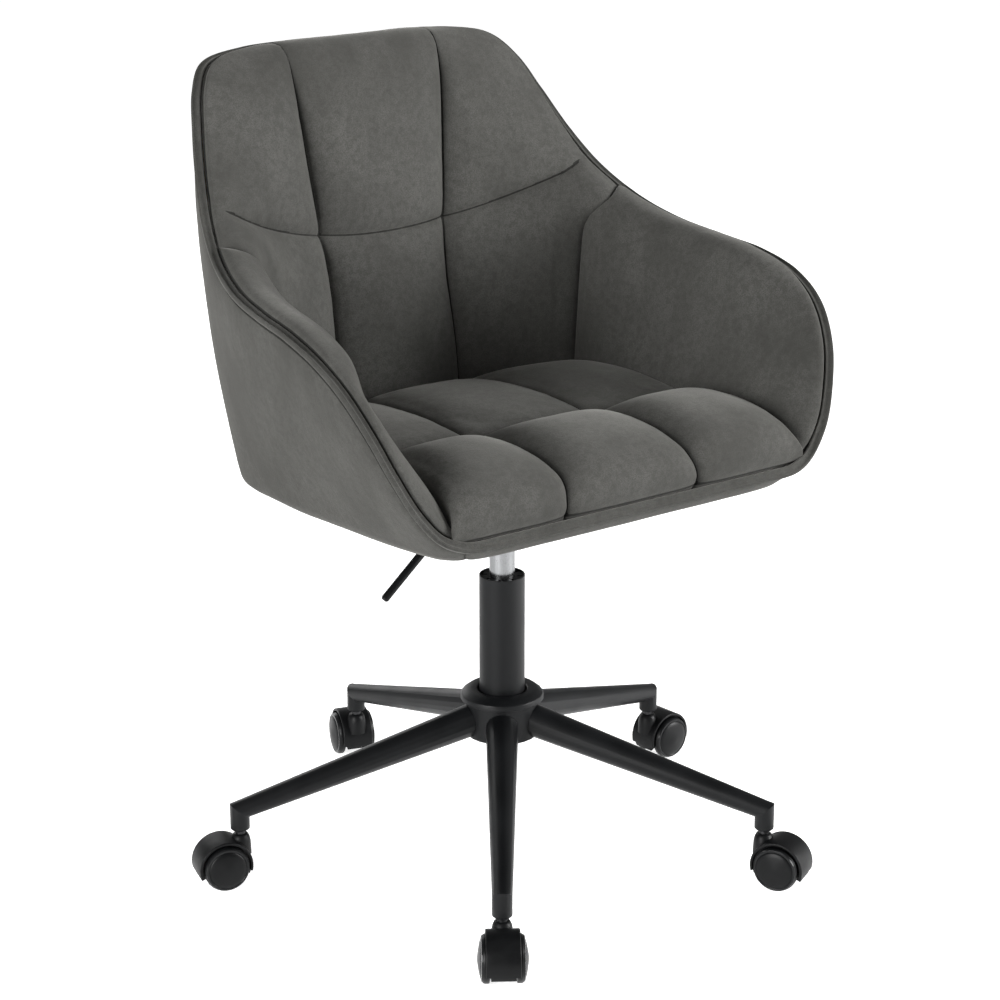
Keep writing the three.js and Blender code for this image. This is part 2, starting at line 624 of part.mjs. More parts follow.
// A bent plywood wall from one front corner round the back to the other.
function shellFrame() {
  const stations = stationsBetween(5, 2 * LAST - 5);
  const inner = COVER_THICKNESS + GAP;
  const grid = (distance) => stations.map((s) => WALL_ROWS.map((t) => outsideOffset(s, t, distance)));
  return piece("shell_frame", between(grid(inner), grid(inner + FRAME_THICKNESS)), plywood);
}

const footShape = (inset) =>
  new THREE.Shape(AROUND.map((s) => footInset(s, inset)).map(({ x, y }) => new THREE.Vector2(x, y)));

function seatBoard() {
  const board = new THREE.ExtrudeGeometry(footShape(25), { depth: BOARD_THICKNESS, bevelEnabled: false })
    .translate(0, 0, BOARD_BOTTOM);
  const holes = boltPlaces.map(([x, y]) => bar(3 + GAP, BOARD_BOTTOM - 5, BOARD_TOP + 5, x, y, 12));
  return piece("seat_board", tilted(cut(board, ...holes)), plywood);
}

function dustCover() {
  const options = { depth: CLOTH_THICKNESS, bevelEnabled: false };
  const cloth = new THREE.ExtrudeGeometry(footShape(HEM_INSET + 1), options).translate(0, 0, CLOTH_BOTTOM);
  const middle = box(BOX_X, BOX_Y, 20, [0, 0, CLOTH_BOTTOM]);
  const holes = boltPlaces.map(([x, y]) => bar(3 + GAP, CLOTH_BOTTOM - 5, BOARD_BOTTOM, x, y, 12));
  return piece("dust_cover", tilted(cut(cloth, middle, ...holes)), dustCloth);
}

// A crowned cushion that drops to the welt along its front edge.
function seatCushion() {
  const across = steps(-1, 1, 8);
  const along = [0, 0.03, 0.08, 0.18, 0.4, 0.65, 0.82, 0.93, 1];
  const cushionTop = (u, v) => {
    const front = 1 - Math.exp(-v / 0.06);
    const side = 1 - Math.abs(u) ** 8 * 0.25;
    return CUSHION_FRONT_Z + CUSHION_CROWN * front * side - 16 * v ** 3;
  };
  const plan = (u, v, undercut) => {
    const narrowing = 1 - 0.3 * v ** 8 - (undercut / CUSHION_HALF_WIDTH) * (1 - v) ** 6;
    const rear = CUSHION_REAR_Y - 14 * Math.abs(u) ** 3 * v ** 8;
    return [u * CUSHION_HALF_WIDTH * narrowing, THREE.MathUtils.lerp(CUSHION_FRONT_Y + undercut, rear, v)];
  };
  const onBoard = (u, v) => footPlaneZ(plan(u, v, 14)[1]) + BOARD_TOP + GAP;
  const grid = (undercut, height) =>
    along.map((v) => across.map((u) => new THREE.Vector3(...plan(u, v, undercut), height(u, v))));
  return piece("seat_cushion", between(grid(0, cushionTop), grid(14, onBoard)), velvet);
}

// The piping along the rim: a closed loop of six-sided sections.
function welt() {
  const sides = 6;
  const positions = [];
  const index = [];
  for (const s of AROUND) {
    const { inwards, off } = rimFrame(s);
    for (let k = 0; k < sides; k += 1) {
      const a = (2 * Math.PI * k) / sides;
      const at = rimAt(s)
        .addScaledVector(inwards, WELT_R * Math.cos(a))
        .addScaledVector(off, WELT_R * Math.sin(a));
      positions.push(at.x, at.y, at.z);
    }
  }
  const id = (i, k) => (i % AROUND.length) * sides + (k % sides);
  for (let i = 0; i < AROUND.length; i += 1) {
    for (let k = 0; k < sides; k += 1) {
      index.push(id(i, k), id(i + 1, k), id(i + 1, k + 1), id(i, k), id(i + 1, k + 1), id(i, k + 1));
    }
  }
  const geometry = new THREE.BufferGeometry().setAttribute(
    "position",
    new THREE.Float32BufferAttribute(positions, 3),
  );
  return piece("rim_welt", geometry.setIndex(index), velvet);
}

function bucket() {
  return [
    cover("cover_front", -COVER_CORNER, COVER_CORNER),
    cover("cover_left_side", COVER_CORNER, COVER_BACK),
    cover("cover_back", COVER_BACK, 2 * LAST - COVER_BACK),
    cover("cover_right_side", 2 * LAST - COVER_BACK, 2 * LAST - COVER_CORNER),
    shellFrame(),
    pad("arm_pad_left", ARM_START, ARM_SEAM),
    pad("back_pad", ARM_SEAM, 2 * LAST - ARM_SEAM),
    pad("arm_pad_right", 2 * LAST - ARM_SEAM, 2 * LAST - ARM_START),
    seatCushion(),
    seatBoard(),
    dustCover(),
    welt(),
  ];
}

// ---------- assembly ----------
const chair = new THREE.Group();
const onColumn = new THREE.Group();
onColumn.position.y = COLUMN_Y;
chair.add(onColumn);
onColumn.add(baseHub(), ...gasLift(), mountPlate(), ...boltsUnderSeat(), ...lever(), ...bucket());
for (let i = 0; i < LEG_COUNT; i += 1) {
  const arm = new THREE.Group();
  arm.rotation.z = THREE.MathUtils.degToRad(FIRST_LEG_DEG + (360 / LEG_COUNT) * i);
  arm.add(leg(i + 1), caster(i + 1));
  onColumn.add(arm);
}

export default chair;
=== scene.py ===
"""Looks of a swivel office chair: velvet bucket seat, gas lift, five-leg base and twin-wheel casters."""
import bmesh
import bpy
import json
import math
import numpy as np
from functools import partial
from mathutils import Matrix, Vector, noise


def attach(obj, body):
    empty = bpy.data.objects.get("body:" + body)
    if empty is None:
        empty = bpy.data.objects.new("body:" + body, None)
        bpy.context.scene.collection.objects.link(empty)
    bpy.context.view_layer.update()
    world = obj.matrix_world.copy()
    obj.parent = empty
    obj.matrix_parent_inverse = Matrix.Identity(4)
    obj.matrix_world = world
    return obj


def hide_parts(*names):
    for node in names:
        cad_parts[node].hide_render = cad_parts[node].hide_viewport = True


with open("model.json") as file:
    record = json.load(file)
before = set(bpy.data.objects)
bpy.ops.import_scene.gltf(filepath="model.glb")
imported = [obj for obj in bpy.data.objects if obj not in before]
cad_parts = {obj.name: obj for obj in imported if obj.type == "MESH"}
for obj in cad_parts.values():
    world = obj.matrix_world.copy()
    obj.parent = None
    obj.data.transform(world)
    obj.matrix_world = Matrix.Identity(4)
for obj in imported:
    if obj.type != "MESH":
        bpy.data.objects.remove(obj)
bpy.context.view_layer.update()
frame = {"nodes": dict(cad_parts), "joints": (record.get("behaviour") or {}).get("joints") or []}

MM = 0.001

# ---------- the seat's driving curves, in millimetres about the lift column ----------
COLUMN_Y = -28
TILT = math.radians(3.75)
FOOT_Z = 428.5
FRONT_RISE = 4
BOARD_TOP = 7.4
HEM_DROP = 8
FOOT_MIDDLE_Y = 10.5
FOOT_HALF_WIDTH = 231
FOOT_HALF_DEPTH = 236.5
# One half of the seat from the front's middle to the back's middle: the rim, then the outside's lower edge
# and the inside wall's lower edge in plan.
STATIONS = np.array([
    [(0, -228, 458), (0, -226, 0), (0, -222, 0)],
    [(107, -228, 458), (107, -226, 0), (107, -222, 0)],
    [(171, -228, 458), (171, -225, 0), (171, -222, 0)],
    [(212, -227, 459), (208, -217, 0), (203, -213, 0)],
    [(238, -222, 469), (224, -200, 0), (209, -198, 0)],
    [(260, -216, 494), (229, -178, 0), (210.5, -184, 0)],
    [(278, -204, 530), (231, -150, 0), (210.5, -165, 0)],
    [(293, -186, 571), (232, -118, 0), (211, -144, 0)],
    [(303, -157, 607), (232, -80, 0), (210, -111, 0)],
    [(307, -115, 632), (231, -45, 0), (210, -74, 0)],
    [(305, -62, 646), (230, -5, 0), (209.5, -34, 0)],
    [(299, -2, 653), (229, 35, 0), (209.5, 12, 0)],
    [(289, 59, 662), (227, 75, 0), (209, 60, 0)],
    [(275, 115, 681), (224, 115, 0), (208, 108, 0)],
    [(258, 163, 711), (219, 156, 0), (200, 158, 0)],
    [(241, 201, 751), (208, 191, 0), (178, 176, 0)],
    [(225, 231, 793), (189, 217, 0), (150, 182, 0)],
    [(209, 256, 829), (163, 233, 0), (120, 184, 0)],
    [(186, 277, 852), (130, 240, 0), (92, 185, 0)],
    [(131, 293, 861), (77, 243, 0), (55, 186, 0)],
    [(0, 299, 862), (0, 244, 0), (0, 186, 0)],
], dtype=float)
LAST = len(STATIONS) - 1
LOOP = 2 * LAST


# ---------- small maths ----------
def smoothstep(x, low, high):
    t = np.clip((np.asarray(x, float) - low) / (high - low), 0, 1)
    return t * t * (3 - 2 * t)


def unit(v):
    return v / np.maximum(np.linalg.norm(v, axis=-1, keepdims=True), 1e-12)


def lerp(a, b, t):
    return a + (b - a) * t


def smooth_rows(rows, shares):
    """A smooth curve through rows (..., n, 3), at shares (k,) or (..., k) of its length."""
    lengths = np.linalg.norm(np.diff(rows, axis=-2), axis=-1)
    t = np.concatenate([np.zeros(lengths.shape[:-1] + (1,)), np.cumsum(lengths, -1)], -1)
    t = t / t[..., -1:]
    return through(rows, t, shares)


def through(rows, t, shares):
    """A smooth curve that passes rows (..., n, 3) at parameters t (..., n), sampled at shares."""
    step = np.diff(t, axis=-1)[..., None]
    slope = np.diff(rows, axis=-2) / step
    tangent = np.empty_like(rows)
    before, after = step[..., :-1, :], step[..., 1:, :]
    tangent[..., 1:-1, :] = (slope[..., :-1, :] * after + slope[..., 1:, :] * before) / (before + after)
    tangent[..., 0, :] = slope[..., 0, :]
    tangent[..., -1, :] = slope[..., -1, :]
    shares = np.broadcast_to(shares, t.shape[:-1] + np.shape(shares)[-1:])
    n = t.shape[-1]
    i = np.clip(np.sum(t[..., None, :] <= shares[..., :, None] + 1e-12, axis=-1) - 1, 0, n - 2)
    take = lambda a, k: np.take_along_axis(a, k[..., None], axis=-2)
    t0 = np.take_along_axis(t, i, axis=-1)
    h = np.take_along_axis(t, i + 1, axis=-1) - t0
    x = ((shares - t0) / h)[..., None]
    h = h[..., None]
    p0, p1 = take(rows, i), take(rows, i + 1)
    m0, m1 = take(tangent, i) * h, take(tangent, i + 1) * h
    return ((2 * x**3 - 3 * x**2 + 1) * p0 + (x**3 - 2 * x**2 + x) * m0
            + (3 * x**2 - 2 * x**3) * p1 + (x**3 - x**2) * m1)


def graded(length, fine=0.8, coarse=4.5, growth=1.35):
    """Shares from 0 to 1 along a length, close together at both ends."""
    steps = [fine]
    while sum(steps) < length / 2:
        steps.append(min(coarse, steps[-1] * growth))
    half = np.concatenate([[0], np.cumsum(steps)])
    half = half / half[-1] / 2
    return np.concatenate([half, 1 - half[:-1][::-1]])


# ---------- curves round the seat; s runs from 0 at the front's middle to LOOP ----------
def around(column):
    half = STATIONS[:, column]
    points = np.concatenate([half, half[1:-1][::-1] * (-1, 1, 1)])
    gaps = np.sqrt(np.linalg.norm(np.roll(points, -1, axis=0) - points, axis=1))

    def curve(s):
        s = np.mod(np.asarray(s, float), LOOP)
        i = np.floor(s).astype(int) % LOOP
        t = (s - np.floor(s))[..., None]
        p0, p1, p2, p3 = (points[(i + k) % LOOP] for k in (-1, 0, 1, 2))
        d0, d1, d2 = (gaps[(i + k) % LOOP][..., None] for k in (-1, 0, 1))
        m1 = ((p1 - p0) / d0 - (p2 - p0) / (d0 + d1) + (p2 - p1) / d1) * d1
        m2 = ((p2 - p1) / d1 - (p3 - p1) / (d1 + d2) + (p3 - p2) / d2) * d1
        return (p1 + m1 * t + (3 * (p2 - p1) - 2 * m1 - m2) * t**2
                + (2 * (p1 - p2) + m1 + m2) * t**3)

    return curve


rim_at = around(0)
foot_plan = around(1)
base_at = around(2)


def from_front(s):
    s = np.mod(s, LOOP)
    return np.minimum(s, LOOP - s)


def foot_plane(y):
    return FOOT_Z - y * math.tan(TILT)


def foot_at(s):
    foot = foot_plan(s)
    foot[..., 2] = foot_plane(foot[..., 1]) + FRONT_RISE * (1 - smoothstep(from_front(s), 1.5, 4))
    return foot


def inwards_at(s):
    along = foot_at(s + 0.1) - foot_at(s - 0.1)
    return unit(np.stack([-along[..., 1], along[..., 0], 0 * along[..., 0]], axis=-1))


def rim_frame(s):
    """The directions at the rim: towards the inside of the seat, and away from it along the wall."""
    tangent = unit(rim_at(s + 0.05) - rim_at(s - 0.05))
    inwards = unit((base_at(s) - rim_at(s)) * (1, 1, 0))
    inwards = unit(inwards - tangent * np.sum(inwards * tangent, axis=-1, keepdims=True))
    off = unit(np.cross(inwards, tangent))
    flip = (off[..., 2] < 0) | ((np.abs(off[..., 2]) < 0.3) & (off[..., 1] > 0))
    return inwards, np.where(flip[..., None], -off, off)


# ---------- the outside wall ----------
def bulge_at(s):
    return 8 * smoothstep(from_front(s), 3, 9) + 2 * smoothstep(from_front(s), 10, 15)


def outside(s, t):
    """The outside from under the welt, t = 0, down to the foot, t = 1."""
    s, t = np.broadcast_arrays(np.asarray(s, float), np.asarray(t, float))
    inwards, off = rim_frame(s)
    start = rim_at(s) - 6 * off - inwards
    lip = 1 - np.exp(-t / 0.05)
    belly = np.sin(np.pi * np.minimum(1, 0.12 + 0.88 * t))
    swell = bulge_at(s) * lip * (0.45 + 0.55 * belly) * (1 - t**6)
    return lerp(start, foot_at(s), t[..., None]) - inwards_at(s) * swell[..., None]


def foot_inset(s, inset, height):
    """Points under the seat, inset from the foot's line, at a height from the foot's plane."""
    foot = foot_at(s)
    foot[..., 0] *= 1 - inset / FOOT_HALF_WIDTH
    foot[..., 1] = FOOT_MIDDLE_Y + (foot[..., 1] - FOOT_MIDDLE_Y) * (1 - inset / FOOT_HALF_DEPTH)
    foot[..., 2] = foot_plane(foot[..., 1]) + height
    return foot


# ---------- the inside of the pads ----------
ROLL_START = (4.4, 3.4)
ROLL = [(0, 0), (4, 3.5), (16, 5.5), (30, 3), (41, -6), (47, -20)]
KNEE_Z = 492


def inside_rows(s):
    s = np.asarray(s, float)
    inwards, off = rim_frame(s)
    rim = rim_at(s)
    base = base_at(s)
    base[..., 2] = foot_plane(base[..., 1]) + BOARD_TOP + 3
    room = np.linalg.norm((rim - base)[..., :2], axis=-1)
    scale = np.minimum(1, np.minimum(0.3 + room / 75, 0.12 + (rim - base)[..., 2] / 105))
    rows = [rim + inwards * (ROLL_START[0] + i * scale)[..., None]
            + off * (ROLL_START[1] + n * scale**0.7)[..., None] for i, n in ROLL]
    top = rows[-1]
    knee = base.copy()
    knee[..., 2] = np.minimum(KNEE_Z, top[..., 2] - 4)
    rows += [lerp(top, knee, t) for t in (0.33, 0.67)]
    return np.stack([*rows, knee, base], axis=-2)


EASE_OFFSETS = np.linspace(-2, 2, 9)
EASE_WEIGHTS = np.exp(-EASE_OFFSETS**2 / 2)
EASE_WEIGHTS /= EASE_WEIGHTS.sum()
EASE_STATIONS = 1.1


def inside(s, w):
    """The inside surface: w = 0 at the welt, over the roll, down to w = 1 at the seat board.

    Round the back's corners the points are averaged along the rim, so that the padding flows."""
    s = np.asarray(s, float)
    w = np.broadcast_to(w, s.shape + np.shape(w)[-1:])
    reach = EASE_STATIONS * smoothstep(from_front(s), 10, 14)[:, None] * smoothstep(w, 0.0, 0.2)
    total = 0
    for offset, weight in zip(EASE_OFFSETS, EASE_WEIGHTS):
        moved = s[:, None] + offset * reach
        at = smooth_rows(inside_rows(moved.ravel()), w.reshape(-1, 1))
        total = total + weight * at.reshape(w.shape + (3,))
    return total


def pad_back(s, w):
    """The hidden back of a pad, which stays clear of the shell."""
    inwards, off = rim_frame(s)
    rim = rim_at(s)
    rows = [rim + inwards * (5.6 + 1.8 * j) + off * (1.2 - 1.6 * j) for j in range(4)]
    for t in (0.12, 0.25, 0.45, 0.68, 0.88, 0.97):
        at = outside(s, t)
        rows.append(at + inwards_at(s) * (13 + 7 * smoothstep(t, 0.82, 0.97)))
    rows[-1][..., 2] = foot_plane(rows[-1][..., 1]) + BOARD_TOP + 3
    return smooth_rows(np.stack(rows, axis=-2), w)


# ---------- meshes ----------
def to_row(points):
    return (np.asarray(points).reshape(-1, 3) + (0, COLUMN_Y, 0)) * MM


def grid_solid_faces(rows, columns, looped=False):
    """Faces of a closed solid between two grids of points, the front's first and then the back's."""
    ident = lambda side, i, j: side * rows * columns + (i % rows) * columns + j
    faces = []
    last = rows if looped else rows - 1
    for i in range(last):
        for j in range(columns - 1):
            faces.append((ident(0, i, j), ident(0, i + 1, j), ident(0, i + 1, j + 1), ident(0, i, j + 1)))
            faces.append((ident(1, i, j), ident(1, i, j + 1), ident(1, i + 1, j + 1), ident(1, i + 1, j)))
        faces.append((ident(1, i, 0), ident(1, i + 1, 0), ident(0, i + 1, 0), ident(0, i, 0)))
        j = columns - 1
        faces.append((ident(0, i, j), ident(0, i + 1, j), ident(1, i + 1, j), ident(1, i, j)))
    if not looped:
        i = rows - 1
        for j in range(columns - 1):
            faces.append((ident(0, 0, j), ident(0, 0, j + 1), ident(1, 0, j + 1), ident(1, 0, j)))
            faces.append((ident(0, i, j), ident(1, i, j), ident(1, i, j + 1), ident(0, i, j + 1)))
    return faces


def outward(obj):
    """Turns a closed mesh's faces to point out."""
    bm = bmesh.new()
    bm.from_mesh(obj.data)
    bmesh.ops.recalc_face_normals(bm, faces=bm.faces)
    if bm.calc_volume(signed=True) < 0:
        bmesh.ops.reverse_faces(bm, faces=bm.faces)
    bm.to_mesh(obj.data)
    bm.free()


def merge_close(obj, distance):
    """Joins points that lie closer than the distance, such as a turned shape's ends on its axis."""
    bm = bmesh.new()
    bm.from_mesh(obj.data)
    bmesh.ops.remove_doubles(bm, verts=bm.verts, dist=distance)
    bm.to_mesh(obj.data)
    bm.free()


def new_object(name, points, faces, materials, smooth_angle=40):
    mesh = bpy.data.meshes.new(name)
    mesh.from_pydata([tuple(p) for p in points], [], faces)
    obj = bpy.data.objects.new(name, mesh)
    bpy.context.scene.collection.objects.link(obj)
    for material in materials if isinstance(materials, (list, tuple)) else [materials]:
        mesh.materials.append(material)
    outward(obj)
    mesh.polygons.foreach_set("use_smooth", [True] * len(mesh.polygons))
    if smooth_angle:
        mesh.set_sharp_from_angle(angle=math.radians(smooth_angle))
    mesh.update()
    return obj


def subdivide(obj):
    modifier = obj.modifiers.new("smooth", "SUBSURF")
    modifier.levels = 1
    modifier.render_levels = 1


def place(obj, body, slot, *nodes):
    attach(obj, body)
    if nodes:
        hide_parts(*nodes)
    return obj


# ---------- materials ----------
class Nodes:
    """A material's node tree, with short calls to add and join nodes."""

    def __init__(self, name):
        self.material = bpy.data.materials.new(name)
        self.material.use_nodes = True
        self.tree = self.material.node_tree
        self.shader = self.tree.nodes["Principled BSDF"]
        self.space = self.tree.nodes.new("ShaderNodeTexCoord").outputs["Object"]

    def add(self, kind, inputs=(), **settings):
        node = self.tree.nodes.new("ShaderNode" + kind)
        for key, value in settings.items():
            setattr(node, key, value)
        for key, value in dict(inputs).items():
            if isinstance(value, bpy.types.NodeSocket):
                self.tree.links.new(value, node.inputs[key])
            else:
                node.inputs[key].default_value = value
        return node

    def noise(self, scale, detail=2.0, roughness=0.5, stretch=None):
        at = self.space
        if stretch:
            at = self.add("Mapping", {"Vector": at, "Scale": stretch}).outputs[0]
        return self.add("TexNoise", {"Vector": at, "Scale": scale, "Detail": detail,
                                     "Roughness": roughness}).outputs["Fac"]

    def span(self, value, low=0.0, high=1.0, from_low=0.3, from_high=0.7):
        return self.add("MapRange", {"Value": value, "From Min": from_low, "From Max": from_high,
                                     "To Min": low, "To Max": high}).outputs[0]

    def mix(self, a, b, fac):
        node = self.add("Mix", data_type="RGBA")
        for socket, value in ((node.inputs[0], fac), (node.inputs[6], a), (node.inputs[7], b)):
            if isinstance(value, bpy.types.NodeSocket):
                self.tree.links.new(value, socket)
            else:
                socket.default_value = value if isinstance(value, float) else (*value, 1)
        return node.outputs[2]

    def bump(self, height, strength, distance, normal=None):
        inputs = {"Height": height, "Strength": strength, "Distance": distance}
        if normal is not None:
            inputs["Normal"] = normal
        return self.add("Bump", inputs).outputs[0]

    def finish(self, color, roughness, normal=None, **constants):
        for key, value in (("Base Color", color), ("Roughness", roughness), ("Normal", normal)):
            if value is None:
                continue
            if isinstance(value, bpy.types.NodeSocket):
                self.tree.links.new(value, self.shader.inputs[key])
            else:
                self.shader.inputs[key].default_value = value
        for key, value in constants.items():
            self.shader.inputs[key.replace("_", " ")].default_value = value
        return self.material


def velvet(name, dark, light, sheen=0.24):
    """Short-pile velvet: brushed patches of nap, fine fibres, and a sheen at glancing angles."""
    n = Nodes(name)
    patches = n.noise(7.0, 3.0, 0.55)
    brushed = n.noise(26.0, 4.0, 0.6, stretch=(1.0, 1.0, 0.45))
    fibres = n.noise(900.0, 3.0, 0.6)
    base = n.mix(dark, light, n.span(patches, 0.15, 0.85))
    base = n.mix(base, light, n.span(brushed, 0.0, 0.6, 0.42, 0.72))
    base = n.mix(base, dark, n.span(n.noise(140.0, 3.0, 0.6), 0.0, 0.5, 0.44, 0.64))
    base = n.mix(base, dark, n.span(fibres, 0.0, 0.8, 0.42, 0.66))
    normal = n.bump(n.noise(330.0), 0.25, 0.0006)
    normal = n.bump(fibres, 0.4, 0.00035, normal)
    return n.finish(base, n.span(brushed, 0.95, 0.8), normal, Sheen_Weight=sheen, Sheen_Roughness=0.45,
                    Sheen_Tint=(0.9, 0.89, 0.84, 1), Specular_IOR_Level=0.1)


def powder_coat(name, color, roughness):
    """Satin black powder coat with a fine orange peel."""
    n = Nodes(name)
    peel = n.noise(650.0)
    cloud = n.noise(18.0, 3.0, 0.5)
    base = n.mix(color, tuple(c * 1.7 for c in color), n.span(cloud))
    return n.finish(base, n.span(cloud, roughness - 0.05, roughness + 0.07), n.bump(peel, 0.25, 0.0003),
                    Specular_IOR_Level=0.18)


def plastic(name, color, roughness, grain=0.2):
    """Moulded plastic with a fine spark texture."""
    n = Nodes(name)
    spark = n.noise(1100.0)
    wear = n.noise(40.0, 4.0, 0.6)
    base = n.mix(color, tuple(c * 1.5 + 0.001 for c in color), n.span(wear))
    return n.finish(base, n.span(wear, roughness - 0.06, roughness + 0.08), n.bump(spark, grain, 0.0002),
                    Specular_IOR_Level=0.16)


def metal(name, color, roughness):
    """Metal with fine drawn lines round it."""
    n = Nodes(name)
    lines = n.noise(700.0, 3.0, 0.6, stretch=(1.0, 1.0, 0.04))
    cloud = n.noise(30.0, 3.0, 0.5)
    base = n.mix(color, tuple(c * 0.8 for c in color), n.span(lines))
    return n.finish(base, n.span(cloud, roughness - 0.05, roughness + 0.08), n.bump(lines, 0.15, 0.0001),
                    Metallic=1.0)


def plywood(name):
    """Bare birch plywood with a stretched grain."""
    n = Nodes(name)
    grain = n.noise(90.0, 5.0, 0.6, stretch=(0.12, 1.0, 1.0))
    base = n.mix((0.42, 0.27, 0.13), (0.62, 0.45, 0.26), n.span(grain))
    return n.finish(base, n.span(grain, 0.6, 0.8), n.bump(grain, 0.2, 0.0004))


def dust_cloth(name):
    """Black non-woven cloth with pressed dots."""
    n = Nodes(name)
    dots = n.add("TexVoronoi", {"Vector": n.space, "Scale": 420.0}).outputs["Distance"]
    base = n.mix((0.012, 0.012, 0.013), (0.03, 0.03, 0.031), n.span(dots, 0.0, 1.0, 0.1, 0.6))
    return n.finish(base, n.span(dots, 0.85, 0.98, 0.1, 0.6), n.bump(dots, 0.5, 0.0004))


def rubber(name):
    n = Nodes(name)
    cloud = n.noise(300.0, 3.0, 0.6)
    base = n.mix((0.008, 0.008, 0.008), (0.02, 0.02, 0.02), n.span(cloud))
    return n.finish(base, n.span(cloud, 0.7, 0.9), n.bump(cloud, 0.2, 0.0003))


VELVET_DARK = (0.049, 0.0485, 0.0445)
VELVET_LIGHT = (0.106, 0.105, 0.098)
LOOKS = {
    "velvet_pads": velvet("velvet_pads", VELVET_DARK, VELVET_LIGHT),
    "velvet_shell": velvet("velvet_shell", VELVET_DARK, VELVET_LIGHT),
    "velvet_piping": velvet("velvet_piping", (0.041, 0.0405, 0.037), (0.091, 0.090, 0.084)),
    "black_painted_steel": powder_coat("black_painted_steel", (0.0035, 0.0038, 0.0042), 0.4),
    "black_plastic": plastic("black_plastic", (0.0022, 0.0024, 0.0027), 0.42),
    "wheel_plastic": plastic("wheel_plastic", (0.002, 0.0022, 0.0025), 0.36, 0.08),
    "chrome": metal("chrome", (0.268, 0.273, 0.278), 0.24),
    "steel": metal("steel", (0.05, 0.05, 0.052), 0.42),
    "plywood": plywood("plywood"),
    "rubber": rubber("rubber"),
    "dust_cloth": dust_cloth("dust_cloth"),
}
# A darker, duller velvet for narrow strips along the seams and beside the welt. On the seams it is partly a
# dark stitch line and partly painted shade in the groove; beside the welt it is a painted shadow under the
# welt's edge.
PAINTED_SEAM_SHADE_LOOK = velvet("velvet_seam_painted_shade", (0.018, 0.018, 0.0165), (0.038, 0.038, 0.0345), 0.1)
# How close to a seam, in millimetres, a face must lie to take this painted seam shade.
PAINTED_SEAM_SHADE_REACH = 0.9
GLOSSY_RING = plastic("glossy_ring", (0.010, 0.0105, 0.011), 0.12, 0.03)


# ---------- padded pieces ----------
def surface_normals(points):
    """Unit normals of a grid of points (rows, columns, 3)."""
    along_rows = np.gradient(points, axis=0)
    along_columns = np.gradient(points, axis=1)
    return unit(np.cross(along_rows, along_columns))


CLOTH_FRAMES = 20


def inflate(name, front, back, held, pressure, slack, cap):
    """Blows up the front of a closed cushion between its held seams, by cloth simulation.

    slack is the cloth's spare length as a share, and cap the most that a point may move, in millimetres."""
    rows, columns = front.shape[:2]
    points = to_row(np.concatenate([front.reshape(-1, 3), back.reshape(-1, 3)]))
    obj = new_object(name, points, grid_solid_faces(rows, columns), [], smooth_angle=None)
    pins = obj.vertex_groups.new(name="pin")
    pinned = np.concatenate([held.ravel(), np.ones(rows * columns, bool)])
    pins.add([int(i) for i in np.flatnonzero(pinned)], 1.0, "REPLACE")
    cloth = obj.modifiers.new("cloth", "CLOTH")
    settings = cloth.settings
    settings.vertex_group_mass = "pin"
    settings.quality = 6
    settings.mass = 0.25
    settings.tension_stiffness = 25
    settings.compression_stiffness = 12
    settings.shear_stiffness = 8
    settings.bending_stiffness = 6.0
    settings.tension_damping = 10
    settings.compression_damping = 10
    settings.shear_damping = 10
    settings.air_damping = 4
    settings.use_pressure = True
    settings.uniform_pressure_force = pressure
    settings.shrink_min = -slack
    settings.effector_weights.gravity = 0
    cloth.collision_settings.use_collision = False
    cloth.point_cache.frame_start = 1
    cloth.point_cache.frame_end = CLOTH_FRAMES
    scene = bpy.context.scene
    for number in range(1, CLOTH_FRAMES + 1):
        scene.frame_set(number)
    evaluated = obj.evaluated_get(bpy.context.evaluated_depsgraph_get())
    moved = np.empty(len(points) * 3)
    evaluated.data.vertices.foreach_get("co", moved)
    moved = moved.reshape(-1, 3)[: rows * columns] / MM - (0, COLUMN_Y, 0)
    scene.frame_set(1)
    mesh = obj.data
    bpy.data.objects.remove(obj)
    bpy.data.meshes.remove(mesh)
    shift = moved.reshape(front.shape) - front
    size = np.linalg.norm(shift, axis=-1, keepdims=True)
    return front + shift * np.minimum(1, cap / np.maximum(size, 1e-9))


def blocks(edges, fine_shares):
    """Joined shares of several blocks: block k runs from edges[k] to edges[k + 1]."""
    out = [np.array([edges[0]])]
    for a, b, shares in zip(edges[:-1], edges[1:], fine_shares):
        out.append(a + (b - a) * shares[1:])
    return np.concatenate(out)


def refine(values, old, new, edges, axis):
    """Values on a grid carried to closer lines along one axis, keeping the creases at the block edges."""
    values = np.moveaxis(values, axis, -2)
    parts = []
    for k, (a, b) in enumerate(zip(edges[:-1], edges[1:])):
        inside_old = (old >= a - 1e-9) & (old <= b + 1e-9)
        inside_new = (new >= a - 1e-9) & (new <= b + 1e-9)
        if k:
            inside_new &= new > a + 1e-9
        t = np.broadcast_to(old[inside_old], values.shape[:-2] + (inside_old.sum(),))
        parts.append(through(values[..., inside_old, :], t, new[inside_new]))
    return np.moveaxis(np.concatenate(parts, axis=-2), -2, axis)


def arc_from(points, axis, at):
    """Distance along a grid's lines from the line number at, for every point."""
    steps = np.linalg.norm(np.diff(points, axis=axis), axis=-1)
    run = np.concatenate([np.zeros_like(np.take(steps, [0], axis)), np.cumsum(steps, axis)], axis)
    return np.abs(run - np.take(run, [at], axis))


def ripple(points, size, seed):
    """Smooth random values from -1 to 1 at each point, with the given wavelength in millimetres."""
    flat = points.reshape(-1, 3) / size + seed
    return np.array([noise.noise(Vector(p)) for p in flat]).reshape(points.shape[:-1])


STITCH_WIDTH = 1.5


def sewn(distance, depth, width, stitch=1.1):
    """How far the cover dips at a distance from a seam: a soft shoulder and a narrow stitched line."""
    return depth * np.exp(-distance / width) + stitch * np.exp(-(distance / STITCH_WIDTH) ** 2)


